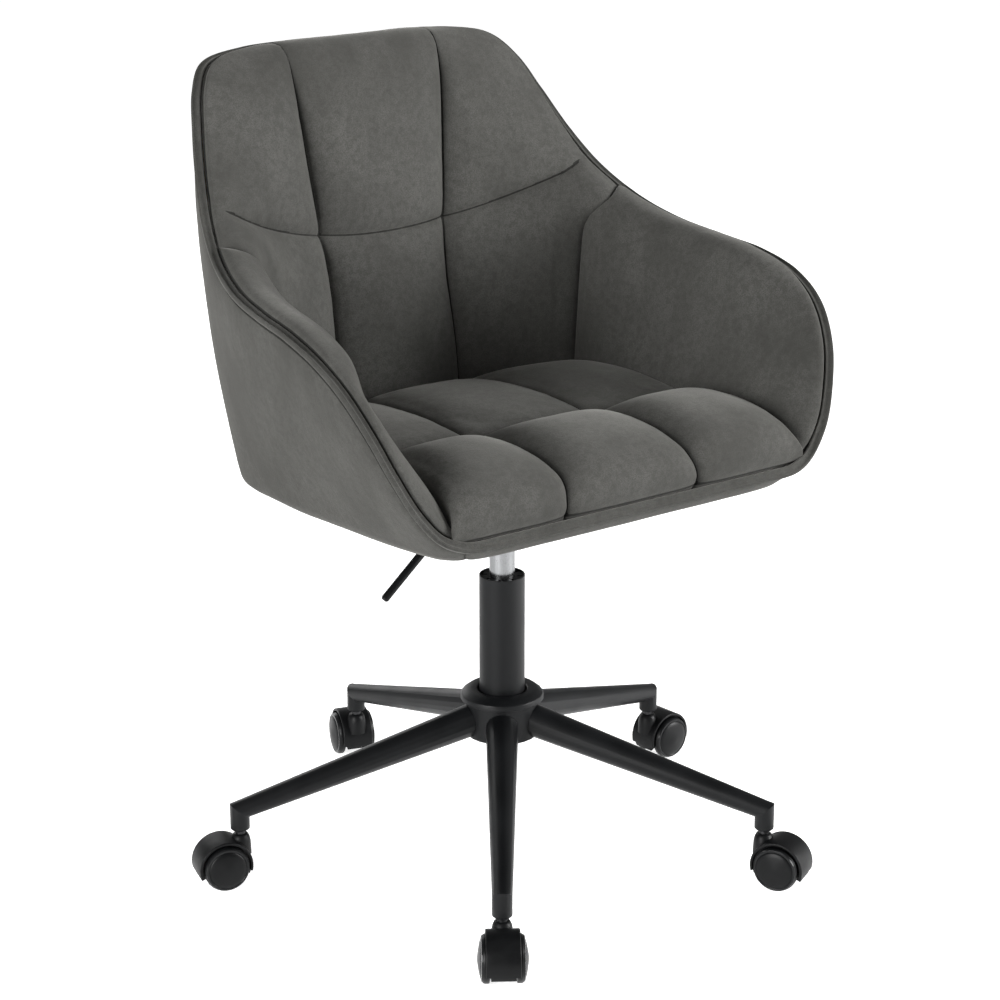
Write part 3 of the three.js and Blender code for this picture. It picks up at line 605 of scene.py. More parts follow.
def dome(shares, edges, power=3.0):
    """1 in the middle of each block and 0 at its edges."""
    block = np.clip(np.searchsorted(edges, shares, side="right") - 1, 0, len(edges) - 2)
    across = (shares - edges[block]) / (edges[block + 1] - edges[block])
    return 1 - np.abs(2 * across - 1) ** power


def mean_of_neighbours(grid):
    return (grid[:-2, 1:-1] + grid[2:, 1:-1] + grid[1:-1, :-2] + grid[1:-1, 2:]) / 4


def calm(values, held, rounds):
    """Evens out small wrinkles between the held lines of a grid."""
    for _ in range(rounds):
        around_it = values.copy()
        around_it[1:-1, 1:-1] = mean_of_neighbours(values)
        values = np.where(held[..., None], values, around_it)
    return values


def edge_distance(points):
    """The least distance along the grid from each point to the grid's own edges."""
    return np.minimum.reduce([
        arc_from(points, axis, at % points.shape[axis]) for axis in (0, 1) for at in (0, -1)])


def swell(distance, reach):
    """0 at a seam, rising to 1 well beyond the reach."""
    return 1 - np.exp(-distance / reach)


CALM_ROUNDS = 4
HELD_SHARE = 0.12
SIM_FINE, SIM_COARSE = 5, 10
FAR = 99.0
# The rows of cloth nearest the welt, which take the dark seam velvet as a painted shadow under the welt.
PAINTED_SHADE_ROWS_UNDER_WELT = 3
LOOSE_WAVES = ((0.5, 55, 3.1), (0.22, 17, 8.7))


def facing(normals, directions):
    """The normals, turned over if they point against the directions on the whole."""
    return -normals if np.sum(normals * directions) < 0 else normals


def cushion_piece(name, surface, back, a_edges, b_edges, a_sizes, b_sizes, lift, seams, node,
                  pressure, slack, cap, line=None):
    """A padded piece of the seat, sewn in blocks.

    surface(a, b) and back(a, b) give grids of points. a_edges and b_edges are the seam lines' parameters,
    and a_sizes and b_sizes the blocks' sizes in millimetres.
    lift(points, a, b) gives how far the filling raises each point, and seams(points, a, b) how far the
    sewing draws it in. line(points, a, b) gives the distance from the seams whose faces take the dark seam
    velvet: a stitch line with painted shade in the groove.
    """
    coarse_a = blocks(a_edges, [graded(size, SIM_FINE, SIM_COARSE) for size in a_sizes])
    fine_a = blocks(a_edges, [graded(size) for size in a_sizes])
    coarse_b = blocks(b_edges, [graded(size, SIM_FINE, SIM_COARSE) for size in b_sizes])
    fine_b = blocks(b_edges, [graded(size) for size in b_sizes])
    rough = surface(coarse_a, coarse_b)
    behind = back(coarse_a, coarse_b)
    normals = facing(surface_normals(rough), rough - behind)
    raised = lift(rough, coarse_a, coarse_b)
    held = raised < HELD_SHARE * raised.max()
    start = rough + raised[..., None] * normals
    shaped = inflate(name + "_sim", start, behind, held, pressure, slack, cap)
    offset = calm(shaped - start, held, CALM_ROUNDS)
    offset = refine(offset, coarse_a, fine_a, a_edges, 0)
    offset = refine(offset, coarse_b, fine_b, b_edges, 1)
    smooth = surface(fine_a, fine_b)
    rear = back(fine_a, fine_b)
    fine_normals = facing(surface_normals(smooth), smooth - rear)
    height = lift(smooth, fine_a, fine_b) - seams(smooth, fine_a, fine_b)
    for amount, size, seed in LOOSE_WAVES:
        height = height + amount * ripple(smooth, size, seed)
    points = smooth + offset + fine_normals * height[..., None]
    everything = to_row(np.concatenate([points.reshape(-1, 3), rear.reshape(-1, 3)]))
    faces = grid_solid_faces(len(fine_a), len(fine_b))
    # Faces near the seams take the dark seam velvet, partly a stitch line and partly painted groove shade.
    # The first rows under the welt take it as a painted shadow.
    seam_shade_distance = line(smooth, fine_a, fine_b) if line else np.full(smooth.shape[:2], FAR)
    seam_shade_distance[:, :PAINTED_SHADE_ROWS_UNDER_WELT] = 0
    seam_shade_distance = np.concatenate([seam_shade_distance.ravel(), np.full(seam_shade_distance.size, FAR)])
    obj = new_object(name, everything, faces, [LOOKS["velvet_pads"], PAINTED_SEAM_SHADE_LOOK], 60)
    for polygon in obj.data.polygons:
        if np.mean(seam_shade_distance[list(polygon.vertices)]) < PAINTED_SEAM_SHADE_REACH:
            polygon.material_index = 1
    subdivide(obj)
    place(obj, "seat", "velvet_pads", node)


# Back pad: three columns and two rows. a runs from the left arm's seam to the right arm's.
ARM_SEAM = 13.6
COLUMN_SEARCH_START = 12.5
SMILE_LOW = 659.5
SMILE_RISE = 72.0
SMILE_HALF = 245.0
SMILE_POWER = 2.17


def arm_seam_at(w):
    """Where the arm pad meets the back pad: the seam leans forward over the rolled edge."""
    return ARM_SEAM + 0.02 - 0.45 * np.exp(-((w - 0.14) / 0.13) ** 2) - 0.1 * np.exp(-(w / 0.05) ** 2)


def column_seam_x(z):
    """Half the middle column's width at a height."""
    heights = [430, 485, 540, 600, 640, 665, 700, 745, 800, 845, 880]
    halves = [80, 80, 79, 77, 78.5, 81, 85, 89.5, 94, 97, 98.5]
    return np.interp(z, heights, halves)


def smile_z(x):
    """The height of the curved cross seam."""
    return SMILE_LOW + SMILE_RISE * (np.abs(x) / SMILE_HALF) ** SMILE_POWER


def back_params(a, b):
    """The (s, w) of the back pad's grid lines: a in 0..3 by columns, b the share down from the welt."""
    at = np.linspace(COLUMN_SEARCH_START, LAST, 61)
    line = inside(at, b)
    wide = np.abs(line[..., 0]) - column_seam_x(line[..., 2])
    s = np.empty((len(a), len(b)))
    edge = arm_seam_at(b)
    for j in range(len(b)):
        first = np.interp(0, -wide[:, j], at)
        s[:, j] = np.interp(a, [0, 1, 2, 3], [edge[j], first, LOOP - first, LOOP - edge[j]])
    return s, np.broadcast_to(b, s.shape).copy()


def on_surface(function, s, w):
    """Points of a surface at pairs (s, w) of the same shape."""
    flat = function(s.reshape(-1), w.reshape(-1, 1))
    return flat.reshape(s.shape + (3,))


BACK_EDGES = np.array([0.0, 1.0, 2.0, 3.0])
BACK_ROWS = np.array([0.0, 1.0, 2.0])
LATTICE_A = np.linspace(0, 3, 91)
LATTICE_B = np.linspace(0, 1, 61)
EASING_PASSES = 7
BACK_STRETCH_ROUNDS = 600


def stretched(points, freedom, rounds):
    """Pulls a grid of points tight like cloth, as far as each point's freedom (0..1) lets it move."""
    for _ in range(rounds):
        moved = lerp(points[1:-1, 1:-1], mean_of_neighbours(points), freedom[1:-1, 1:-1, None])
        points = points.copy()
        points[1:-1, 1:-1] = moved
    return points


def arm_seam_line(w):
    """The eased line where the left arm's pad meets the back's, at shares w down from the welt."""
    line = on_surface(inside, arm_seam_at(LATTICE_B)[None], LATTICE_B[None])[0]
    for _ in range(EASING_PASSES):
        line[1:-1] = (line[:-2] + 2 * line[1:-1] + line[2:]) / 4
    return through(line, LATTICE_B, w)


def back_lattices():
    """The back pad's front and hidden back on an even lattice.

    The outer columns are stretched like cloth."""
    s, w = back_params(LATTICE_A, LATTICE_B)
    outer = (LATTICE_A < 1) | (LATTICE_A > 2)
    freedom = outer[:, None] * smoothstep(LATTICE_B, 0.005, 0.16)[None] ** 2
    front = on_surface(inside, s, w)
    front[0] = arm_seam_line(LATTICE_B)
    front[-1] = front[0] * (-1, 1, 1)
    return stretched(front, freedom, BACK_STRETCH_ROUNDS), on_surface(pad_back, s, w)


BACK_FRONT, BACK_REAR = back_lattices()


LEAST_SEAM_SHARE = 0.009
SEAM_SHARE_EASE = 0.006


def cross_seam_share(lines):
    """Where each line down the back, as lattice points, meets the curved cross seam."""
    above = lines[..., 2] - smile_z(lines[..., 0])
    passed = len(LATTICE_B) - np.argmax(above[:, ::-1] >= 0, axis=-1)
    crossing = np.clip(np.where((above >= 0).any(axis=-1), passed, 1), 1, len(LATTICE_B) - 1)
    rows = np.arange(len(lines))
    high, low = above[rows, crossing - 1], above[rows, crossing]
    step = LATTICE_B[1] - LATTICE_B[0]
    found = LATTICE_B[crossing - 1] + step * np.clip(high / np.maximum(high - low, 1e-9), 0, 1)
    over = found - LEAST_SEAM_SHARE
    return LEAST_SEAM_SHARE + 0.5 * (over + np.sqrt(over**2 + SEAM_SHARE_EASE**2))


SEAM_RUN_OUT = 0.035


def back_grid(lattice, a, b):
    """Points at columns a in 0..3 and rows b in 0..2, where row 1 follows the cross seam.

    Past the ends of the seam, where it has left through the welt, row 1 runs out gently."""
    lines = refine(BACK_FRONT, LATTICE_A, a, BACK_EDGES, 0)
    run_out = np.exp(-np.abs(a[:, None] - a[None]) / SEAM_RUN_OUT)
    seam = np.max(cross_seam_share(lines)[None] * run_out, axis=1)[:, None]
    shares = np.where(b <= 1, seam * b, seam + (1 - seam) * (b - 1))
    lines = refine(lattice, LATTICE_A, a, BACK_EDGES, 0)
    return through(lines, np.broadcast_to(LATTICE_B, lines.shape[:-1]), shares)


def edge_dip(points, a_from=None, a_to=None, top=None):
    """The dip along a piece's own edges; each argument is (depth, width) or nothing."""
    dip = 0
    under_welt = swell(arc_from(points, 1, 0), 8)
    for values, axis, at, share in ((a_from, 0, 0, under_welt), (a_to, 0, -1, under_welt), (top, 1, 0, 1)):
        if values:
            number = at % points.shape[axis]
            dip = np.maximum(dip, share * sewn(arc_from(points, axis, number), *values, stitch=0.6))
    return dip


def pucker(points, distance):
    """Small gathers where the cover is drawn in at a seam."""
    return 0.5 * ripple(points, 9, 21.3) * np.exp(-distance / 16)


def back_distances(points):
    """Distances from the two upright seams and from the curved cross seam."""
    x, z = np.abs(points[..., 0]), points[..., 2]
    slope = SMILE_RISE * SMILE_POWER / SMILE_HALF * (x / SMILE_HALF) ** (SMILE_POWER - 1)
    return np.abs(x - column_seam_x(z)), np.abs(z - smile_z(x)) / np.sqrt(1 + slope**2)


BACK_CROWN = 14.0


def back_lift(points, a, b):
    upright, across = back_distances(points)
    top = arc_from(points, 1, 0)
    flat = 2.6 * np.exp(-((top - 12) / 16) ** 2)
    crown = BACK_CROWN * smoothstep(top, 8, 90)
    return crown * swell(upright, 24) * swell(across, 24) * swell(edge_distance(points), 34) - flat


def back_seams(points, a, b):
    upright, across = back_distances(points)
    near_welt = 0.3 + 0.7 * smoothstep(arc_from(points, 1, 0), 6, 50)
    dip = (sewn(upright, 4.2, 8) + sewn(across, 4.2, 8)) * near_welt
    dip = dip + pucker(points, np.minimum(upright, across))
    return dip + edge_dip(points, (3.5, 5), (3.5, 5), (3.0, 3.5))


cushion_piece(
    "back_pad_sewn", partial(back_grid, BACK_FRONT), partial(back_grid, BACK_REAR),
    BACK_EDGES, BACK_ROWS, [190, 165, 190], [230, 210], back_lift, back_seams, "back_pad",
    pressure=3.0, slack=0.004, cap=5.0, line=lambda points, a, b: np.minimum(*back_distances(points)))


# Arm pads: one plain panel each.
ARM_FRONT = 3.35
ARM_STRETCH_ROUNDS = 500
ARM_EDGES = np.array([0.0, 1.0])
ARM_A = np.linspace(0, 1, 71)
ARM_B = np.linspace(0, 1, 41)


def arm_lattices(mirrored):
    """An arm pad's front and hidden back on an even lattice; its front end is pulled tight."""
    s = ARM_FRONT + (arm_seam_at(ARM_B)[None] - ARM_FRONT) * ARM_A[:, None]
    w = np.broadcast_to(ARM_B[None], s.shape).copy()
    front = 1 - smoothstep(s, 5.5, 9.0)
    freedom = (0.012 + 0.988 * front) * smoothstep(w, 0.01, 0.2) ** 2
    if mirrored:
        s = LOOP - s
    points = on_surface(inside, s, w)
    points[-1] = arm_seam_line(ARM_B) * (-1 if mirrored else 1, 1, 1)
    return stretched(points, freedom, ARM_STRETCH_ROUNDS), on_surface(pad_back, s, w)


def arm_grid(lattice, a, b):
    """Points at shares a from the front end to the back pad, and b down from the welt."""
    lines = refine(lattice, ARM_A, a, ARM_EDGES, 0)
    return refine(lines, ARM_B, b, ARM_EDGES, 1)


def arm_lift(points, a, b):
    front = 1 - smoothstep(a, 0.2, 0.5)[:, None]
    return (4.0 + 6.0 * front) * swell(edge_distance(points), 30)


def arm_seams(points, a, b):
    return edge_dip(points, (2.0, 4), (3.5, 5), (3.0, 3.5))


for side, mirrored in (("left", False), ("right", True)):
    arm_front, arm_rear = arm_lattices(mirrored)
    cushion_piece(
        f"arm_pad_{side}_sewn", partial(arm_grid, arm_front), partial(arm_grid, arm_rear),
        ARM_EDGES, ARM_EDGES, [420], [230], arm_lift, arm_seams, f"arm_pad_{side}",
        pressure=3.0, slack=0.003, cap=5.0)


# Seat cushion: three columns and two rows, with a rounded front that drops to the welt.
CUSHION_PROFILE = np.array([
    (-221, 460), (-223, 471), (-219, 485), (-208, 497), (-190, 504), (-154, 510), (-110, 510),
    (-66, 505), (-48, 503), (-20, 504), (30, 506), (80, 504), (130, 498), (162, 490), (178, 474),
], dtype=float)
CROSS_SEAM_SHARE = 0.455
CUSHION_SIDE = 212.0
CUSHION_FLARE = 15.0
SIDE_ROUND = 9.0
COLUMN_SHARE = 79 / CUSHION_SIDE
CUSHION_COLUMNS = np.array([-1.5, -0.5, 0.5, 1.5])
CUSHION_ROWS = np.array([0.0, 1.0, 2.0])


def cushion_top(a, b):
    """a in -1.5..1.5 by columns, b in 0..2 by rows from the front."""
    share = np.interp(b, CUSHION_ROWS, [0, CROSS_SEAM_SHARE, 1])
    rows = np.concatenate([np.zeros((len(CUSHION_PROFILE), 1)), CUSHION_PROFILE], axis=1)
    line = smooth_rows(rows, share)
    half = CUSHION_SIDE + CUSHION_FLARE * (1 - smoothstep(line[:, 2], 470, 508)) * (line[:, 1] < -100)
    half = half - 32 * smoothstep(line[:, 1], 90, 185) ** 1.5
    across = np.interp(a, CUSHION_COLUMNS, [-1, -COLUMN_SHARE, COLUMN_SHARE, 1])
    x = across[:, None] * half[None]
    from_side = (1 - np.abs(across))[:, None] * half[None]
    turn = np.clip(1 - from_side / SIDE_ROUND, 0, 1)
    drop = SIDE_ROUND * 1.3 * (1 - np.sqrt(np.maximum(0, 1 - turn**2)))
    drop = drop * smoothstep(line[:, 2], 462, 500)[None]
    rear = -10 * np.abs(across[:, None]) ** 3 * smoothstep(line[:, 1], 90, 180)[None]
    y = line[None, :, 1] + rear
    return np.stack([x, y, line[None, :, 2] - drop], axis=-1)


def cushion_under(a, b):
    """The cushion's flat underside, on the seat board."""
    top = cushion_top(a, b)
    under = top.copy()
    under[..., 0] *= 0.97
    under[..., 1] = np.maximum(under[..., 1] + 12 * (1 - smoothstep(under[..., 1], -223, -180)), -212)
    under[..., 2] = foot_plane(under[..., 1]) + BOARD_TOP + 0.4
    return under


def cushion_lift(points, a, b):
    front = 1 - smoothstep(points[..., 1], -80, -20)
    rise = 3.5 + 11.0 * front
    pressed = 0.35 * smoothstep(np.abs(a), 1.0, 1.5)
    columns = np.maximum(dome(a, CUSHION_COLUMNS), pressed)
    return rise * columns[:, None] * dome(b, CUSHION_ROWS)[None, :]


def cushion_distances(points, a, b):
    """Distances from the two lengthwise seams and from the cross seam."""
    first, second = (int(np.argmin(np.abs(a - k))) for k in (-0.5, 0.5))
    middle = int(np.argmin(np.abs(b - 1)))
    return np.minimum(arc_from(points, 0, first), arc_from(points, 0, second)), arc_from(points, 1, middle)


def cushion_seams(points, a, b):
    upright, across = cushion_distances(points, a, b)
    dip = sewn(upright, 4.0, 8) + sewn(across, 4.0, 8)
    return dip + pucker(points, np.minimum(upright, across)) + edge_dip(points, top=(1.5, 4))


cushion_piece(
    "seat_cushion_sewn", cushion_top, cushion_under, CUSHION_COLUMNS, CUSHION_ROWS,
    [135, 158, 135], [200, 235], cushion_lift, cushion_seams, "seat_cushion",
    pressure=4.0, slack=0.006, cap=6.0,
    line=lambda points, a, b: np.minimum(*cushion_distances(points, a, b)))


# ---------- the outside covers ----------
COVER_THICKNESS = 3.0
COVER_LENGTH_PER_STATION = 55
WALL_SHARES = np.concatenate([[0, 0.006, 0.012, 0.018, 0.03, 0.06], np.linspace(0.1, 0.9, 22)])
CORNER_SHARES = np.linspace(0, 1, 9)
HEM_INSETS = (28, 34)
SEAT_MIDDLE = (0, 20, 520)


def cover_points(s):
    """The cover's outside for each s: down the wall, round the lower edge and in under the seat."""
    wall = outside(s[:, None], WALL_SHARES[None])
    foot = foot_at(s)
    rear = smoothstep(from_front(s), 11, 15)
    start = outside(s, 0.955 - 0.02 * rear)
    end = foot_inset(s, 9, -0.75 * HEM_DROP)
    end = lerp(end, foot_inset(s, 18, 0.6 - HEM_DROP), rear[:, None])
    fullness = (1 + 1.2 * rear)[:, None]
    turns = []
    for t in CORNER_SHARES:
        a, b, c = (1 - t) ** 2, 2 * fullness * t * (1 - t), t**2
        turns.append((a * start + b * foot + c * end) / (a + b + c))
    hem = [foot_inset(s, inset, -HEM_DROP) for inset in HEM_INSETS]
    grid = np.concatenate([wall, np.stack([*turns, *hem], axis=1)], axis=1)
    return grid, facing(surface_normals(grid), grid - SEAT_MIDDLE)


def cover_piece(name, start, end, node):
    length = COVER_LENGTH_PER_STATION * (end - start)
    s = start + (end - start) * graded(length, 1.0, 9.0)
    grid, normals = cover_points(s)
    from_start = arc_from(grid, 0, 0)
    from_end = arc_from(grid, 0, len(s) - 1)
    seam = 1.6 * np.exp(-from_start / 3.5) + 1.6 * np.exp(-from_end / 3.5)
    top = 1.8 * np.exp(-arc_from(grid, 1, 0) / 3.5)
    soft = 0.45 * ripple(grid, 70, 5.5) + 0.15 * ripple(grid, 20, 2.2)
    outer = grid + normals * (soft - seam - top)[..., None]
    inner = grid - normals * COVER_THICKNESS
    points = to_row(np.concatenate([outer.reshape(-1, 3), inner.reshape(-1, 3)]))
    # The first rows under the welt take the dark seam velvet: a painted shadow line where the welt
    # overhangs the cover.
    looks = [LOOKS["velvet_shell"], PAINTED_SEAM_SHADE_LOOK]
    obj = new_object(name, points, grid_solid_faces(*grid.shape[:2]), looks, 60)
    under_welt = np.zeros(2 * grid[..., 0].size, bool)
    under_welt[: grid[..., 0].size].reshape(grid.shape[:2])[:, :PAINTED_SHADE_ROWS_UNDER_WELT] = True
    for polygon in obj.data.polygons:
        if under_welt[list(polygon.vertices)].all():
            polygon.material_index = 1
    subdivide(obj)
    place(obj, "seat", "velvet_shell", node)


COVER_CORNER = 3
COVER_BACK = 15
cover_piece("cover_front_sewn", -COVER_CORNER, COVER_CORNER, "cover_front")
cover_piece("cover_left_side_sewn", COVER_CORNER, COVER_BACK, "cover_left_side")
cover_piece("cover_back_sewn", COVER_BACK, LOOP - COVER_BACK, "cover_back")
cover_piece("cover_right_side_sewn", LOOP - COVER_BACK, LOOP - COVER_CORNER, "cover_right_side")


# ---------- the welt: a flat band between two thin cords ----------
WELT_SECTION = [
    (-4.1, -3.4), (-4.9, -0.8), (-5.1, 0.6), (-4.7, 1.8), (-3.8, 2.4), (-2.8, 2.1), (-2.2, 1.2),
    (0, 0.8), (2.2, 1.2), (2.8, 2.1), (3.8, 2.4), (4.7, 1.8), (5.1, 0.6), (4.9, -0.8), (4.1, -3.4),
    (0, -4.2),
]
WELT_FRONT_TURN = math.radians(58)
WELT_STEPS = 560
WELT_FRONT_WIDENING = 0.15
WELT_FRONT_SHIFT = -2.6


def welt_piece():
    s = np.linspace(0, LOOP, WELT_STEPS + 1)[:-1]
    inwards, off = rim_frame(s)
    front = (1 - smoothstep(from_front(s), 2.2, 4.8))[:, None]
    turn = WELT_FRONT_TURN * front
    across = inwards * np.cos(turn) + off * np.sin(turn)
    up = off * np.cos(turn) - inwards * np.sin(turn)
    rim = rim_at(s)
    section = np.array(WELT_SECTION)
    wide = section[None, :, :1] * (1 + WELT_FRONT_WIDENING * front[:, None])
    wide = wide + WELT_FRONT_SHIFT * front[:, None]
    points = rim[:, None] + across[:, None] * wide + up[:, None] * section[None, :, 1:]
    wave = 0.18 * ripple(points, 14, 4.4)
    points = points + up[:, None] * wave[..., None]
    rows, columns = points.shape[:2]
    faces = []
    for i in range(rows):
        for j in range(columns):
            k, m = (i + 1) % rows, (j + 1) % columns
            faces.append((i * columns + j, k * columns + j, k * columns + m, i * columns + m))
    obj = new_object("rim_welt_sewn", to_row(points), faces, LOOKS["velvet_piping"], 70)
    place(obj, "seat", "velvet_piping", "rim_welt")


welt_piece()


# ---------- casters ----------
HOOD_HALF = 17.6
HOOD_OUTER = 29.8
HOOD_INNER = 27.2
BODY_HALF = 12.8
WHEEL_INNER = 13.4
BORE_END = 25.2
HOOD_PAST_LEVEL = math.radians(14)
WEB_PAST_LEVEL = math.radians(24)
CASTER_STEPS = 56
# Closed sections as (radius, height) for the neck and (radius, distance from the middle) for a wheel.
NECK = [(0.01, 8), (11.5, 8), (11, 22), (10, 27), (8.4, 30.5), (6.8, 31.6), (0.01, 31.6)]
WHEEL = [
    (0.01, BORE_END), (3.4, BORE_END), (3.4, WHEEL_INNER), (22.5, WHEEL_INNER),
    (24.3, WHEEL_INNER + 0.5), (25.0, WHEEL_INNER + 1.6), (25.0, 18.2), (24.6, 19.6), (23.9, 20.6),
    (23.7, 21.0), (23.4, 21.9), (21.6, 22.5), (21.1, 22.2), (20.8, 21.9), (20.5, 22.3), (19.6, 22.9),
    (16, 23.9), (10, 25.0), (5, 25.8), (2.5, 26.1), (0.01, 26.2),
]
RING_RADII = (20.9, 24.0)


def joint_named(name):
    return next(j for j in frame["joints"] if j["name"] == name)


def turned(profile, steps, start=0.0, end=2 * math.pi):
    """Points and faces of a closed (radius, along) profile turned about the local Y axis."""
    whole = abs(end - start - 2 * math.pi) < 1e-9
    count = steps if whole else steps + 1
    angles = np.linspace(start, end, steps + 1)[:count]
    profile = np.array(profile, float)
    points = np.stack([
        np.outer(np.cos(angles), profile[:, 0]),
        np.broadcast_to(profile[:, 1], (count, len(profile))),
        np.outer(np.sin(angles), profile[:, 0]),
    ], axis=-1)
    n = len(profile)
    faces = []
    for i in range(steps):
        for j in range(n):
            k, m = (i + 1) % count, (j + 1) % n
            faces.append((i * n + j, i * n + m, k * n + m, k * n + j))
    if not whole:
        faces.append(tuple(range(n)))
        faces.append(tuple((count - 1) * n + j for j in reversed(range(n))))
    return points.reshape(-1, 3), faces


def union(name, parts, materials, smooth_angle=35):
    """Overlapping closed shapes joined into one closed mesh."""
    base = None
    for k, (points, faces) in enumerate(parts):
        obj = new_object(f"{name}_part_{k}", points, faces, materials, None)
        if base is None:
            base = obj
            continue
        modifier = base.modifiers.new("join", "BOOLEAN")
        modifier.operation = "UNION"
        modifier.solver = "EXACT"
        modifier.object = obj
        mesh = bpy.data.meshes.new_from_object(base.evaluated_get(bpy.context.evaluated_depsgraph_get()))
        base.modifiers.clear()
        base.data = mesh
        other = obj.data
        bpy.data.objects.remove(obj)
        bpy.data.meshes.remove(other)
    base.name = name
    mesh = base.data
    mesh.name = name
    mesh.polygons.foreach_set("use_smooth", [True] * len(mesh.polygons))
    mesh.set_sharp_from_angle(angle=math.radians(smooth_angle))
    mesh.update()
    return base


def rounded(width, low, high, radius, steps=4):
    """The two top corners of a band from -width to width, rounded: points (radius, along)."""
    corner = [math.pi / 2 * k / steps for k in range(steps + 1)]
    corner = [(high - radius + radius * math.sin(a), width - radius + radius * math.cos(a)) for a in corner]
    return [(low, -width), *((r, -w) for r, w in corner), *reversed(corner), (low, width)]


def about_z(profile, steps):
    """A closed (radius, height) profile turned about the local Z axis."""
    points, faces = turned(profile, steps)
    return points[:, (0, 2, 1)], faces


def caster_pieces(number):
    swivel = joint_named(f"caster_{number}_swivel")
    spin = joint_named(f"caster_{number}_left_spin")
    stem = np.array(swivel["pos_m"], float) / MM
    axle = np.array(spin["pos_m"], float) / MM
    ahead = unit((axle - stem) * (1, 1, 0))
    side = np.cross((0, 0, 1), ahead)
    centre = np.array([*(stem[:2] + ahead[:2] * np.dot(axle - stem, ahead)), axle[2]])
    local = np.stack([ahead, side, (0, 0, 1)])

    def put(points):
        return (points @ local + centre) * MM

    hood = turned(rounded(HOOD_HALF, HOOD_INNER, HOOD_OUTER, 1.1), CASTER_STEPS,
                  -HOOD_PAST_LEVEL, math.pi + HOOD_PAST_LEVEL)
    web = turned(rounded(BODY_HALF, 3.6, HOOD_OUTER - 0.6, 0.6, 2), CASTER_STEPS,
                 -WEB_PAST_LEVEL, math.pi + WEB_PAST_LEVEL)
    lower = turned(rounded(BODY_HALF, 3.6, 18.6, 1.6, 3), CASTER_STEPS)
    offset = stem - centre
    neck_points, neck_faces = about_z(NECK, 32)
    neck_points = neck_points + (float(np.dot(offset, ahead)), 0, 0)
    shapes = [hood, web, lower, (neck_points, neck_faces)]
    body = union(f"caster_{number}_cover", [(put(p), f) for p, f in shapes], LOOKS["black_plastic"])
    place(body, f"caster_{number}", "black_plastic", f"caster_{number}_housing")

    for side_name, sign in (("left", 1), ("right", -1)):
        points, faces = turned([(r, sign * w) for r, w in WHEEL], 72)
        obj = new_object(f"caster_{number}_wheel_{side_name}_moulded", put(points), faces,
                         [LOOKS["wheel_plastic"], GLOSSY_RING], 50)
        merge_close(obj, 5e-5)
        for polygon in obj.data.polygons:
            at = np.array(polygon.center) - centre * MM
            across = abs(float(np.dot(at, side))) / MM
            radius = math.sqrt(max(0, float(np.dot(at, at)) / MM**2 - across**2))
            if RING_RADII[0] < radius < RING_RADII[1] and across > 20:
                polygon.material_index = 1
        place(obj, f"caster_{number}_{side_name}_wheel", "wheel_plastic",
              f"caster_{number}_wheel_{side_name}")


for number in range(1, 6):
    caster_pieces(number)


# ---------- the CAD nodes ----------
EDGE_WIDTHS = {"base_hub": 0.8, "column_tube": 0.5, "mount_plate": 0.5, "gas_cylinder": 0.4}
LEG_EDGE_WIDTH = 0.6
OTHER_EDGE_WIDTH = 0.3


def dress(node, obj):
    """Gives a CAD node its finish, smooth shading and softened edges."""
    slot = obj.data.materials[0].name
    obj.data.materials.clear()
    obj.data.materials.append(LOOKS[slot])
    weld = obj.modifiers.new("weld", "WELD")
    weld.merge_threshold = 1e-5
    other = LEG_EDGE_WIDTH if node.startswith("leg_") else OTHER_EDGE_WIDTH
    edge = obj.modifiers.new("edges", "BEVEL")
    edge.width = EDGE_WIDTHS.get(node, other) * MM
    edge.segments = 2
    edge.limit_method = "ANGLE"
    edge.angle_limit = math.radians(40)
    obj.data.polygons.foreach_set("use_smooth", [True] * len(obj.data.polygons))
    normals = obj.modifiers.new("normals", "WEIGHTED_NORMAL")
    normals.keep_sharp = True


for node, obj in frame["nodes"].items():
    dress(node, obj)

# ---------- camera, floor and light ----------
CAMERA_AT = (-1.634, -2.202, 1.298)
CAMERA_DOWN = 18.199
CAMERA_TURN = -36.92
camera_data = bpy.data.cameras.new("camera")
camera_data.lens = 96.19
camera_data.sensor_width = 36
camera_data.shift_x = -0.00169
camera = bpy.data.objects.new("camera", camera_data)
bpy.context.scene.collection.objects.link(camera)
camera.location = CAMERA_AT
camera.rotation_euler = (math.radians(90 - CAMERA_DOWN), 0, math.radians(CAMERA_TURN))
bpy.context.scene.camera = camera


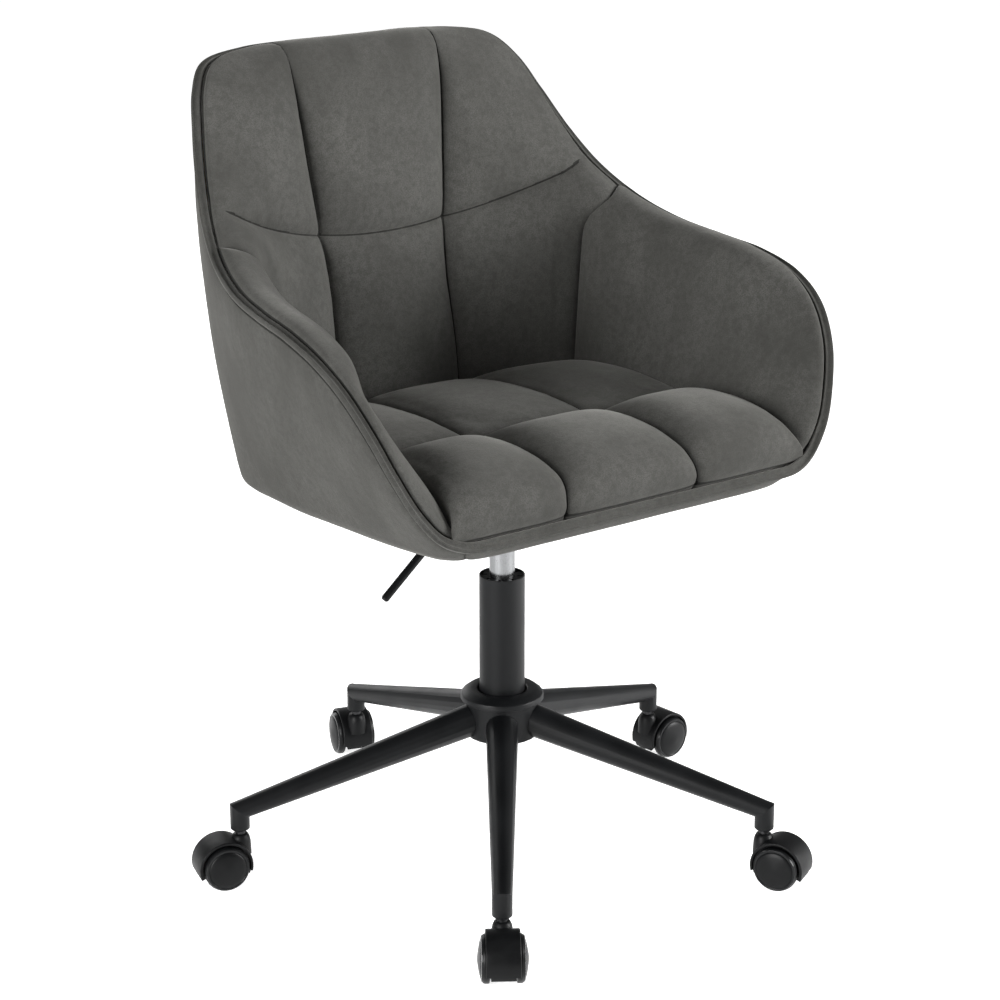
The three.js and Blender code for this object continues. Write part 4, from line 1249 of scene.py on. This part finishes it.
def area_light(name, at, target, size, power):
    data = bpy.data.lights.new(name, "AREA")
    data.shape = "RECTANGLE"
    data.size, data.size_y = size
    data.energy = power
    light = bpy.data.objects.new(name, data)
    bpy.context.scene.collection.objects.link(light)
    light.location = at
    light.rotation_euler = (Vector(target) - Vector(at)).to_track_quat("-Z", "Y").to_euler()


def studio_paper(name, points, faces, glow, hidden_from):
    """A pale studio surface that glows a little and is hidden from some kinds of ray."""
    obj = new_object(name, points, faces, [], None)
    look = Nodes(name + "_paint")
    obj.data.materials.append(look.finish(
        look.mix((0.86, 0.86, 0.86), (0.9, 0.9, 0.9), look.span(look.noise(3.0))),
        look.span(look.noise(9.0), 0.7, 0.8), None,
        Emission_Color=(1, 1, 1, 1), Emission_Strength=glow))
    for ray in hidden_from:
        setattr(obj, "visible_" + ray, False)


FLOOR_REACH = 40
BACKDROP_RADIUS = 39
BACKDROP_HEIGHTS = (-0.5, 36)
SIDES = 96
corners = [(x * FLOOR_REACH, y * FLOOR_REACH, 0) for x, y in ((-1, -1), (1, -1), (1, 1), (-1, 1))]
studio_paper("floor", corners, [(0, 1, 2, 3)], 0.78, ("diffuse",))
turns = [math.pi * k / (SIDES / 2) for k in range(SIDES)]
ring = [(BACKDROP_RADIUS * math.cos(t), BACKDROP_RADIUS * math.sin(t)) for t in turns]
studio_paper(
    "backdrop", [(x, y, z) for z in BACKDROP_HEIGHTS for x, y in ring],
    [(k, (k + 1) % SIDES, SIDES + (k + 1) % SIDES, SIDES + k) for k in range(SIDES)],
    0.95, ("diffuse", "glossy", "shadow"))

world = bpy.data.worlds.new("studio")
world.use_nodes = True
sky = world.node_tree.nodes["Background"].inputs
sky["Color"].default_value = (1, 1, 1, 1)
sky["Strength"].default_value = 0.27
bpy.context.scene.world = world
bpy.context.scene.view_settings.view_transform = "Standard"
area_light("key", (2.75, -2.35, 1.3), (0, 0, 0.6), (1.6, 1.6), 206)
area_light("fill", (-3.0, -0.9, 1.1), (0, 0, 0.5), (1.6, 1.6), 120)
area_light("rear", (0.6, 3.4, 1.3), (0, 0, 0.5), (1.8, 1.4), 22)
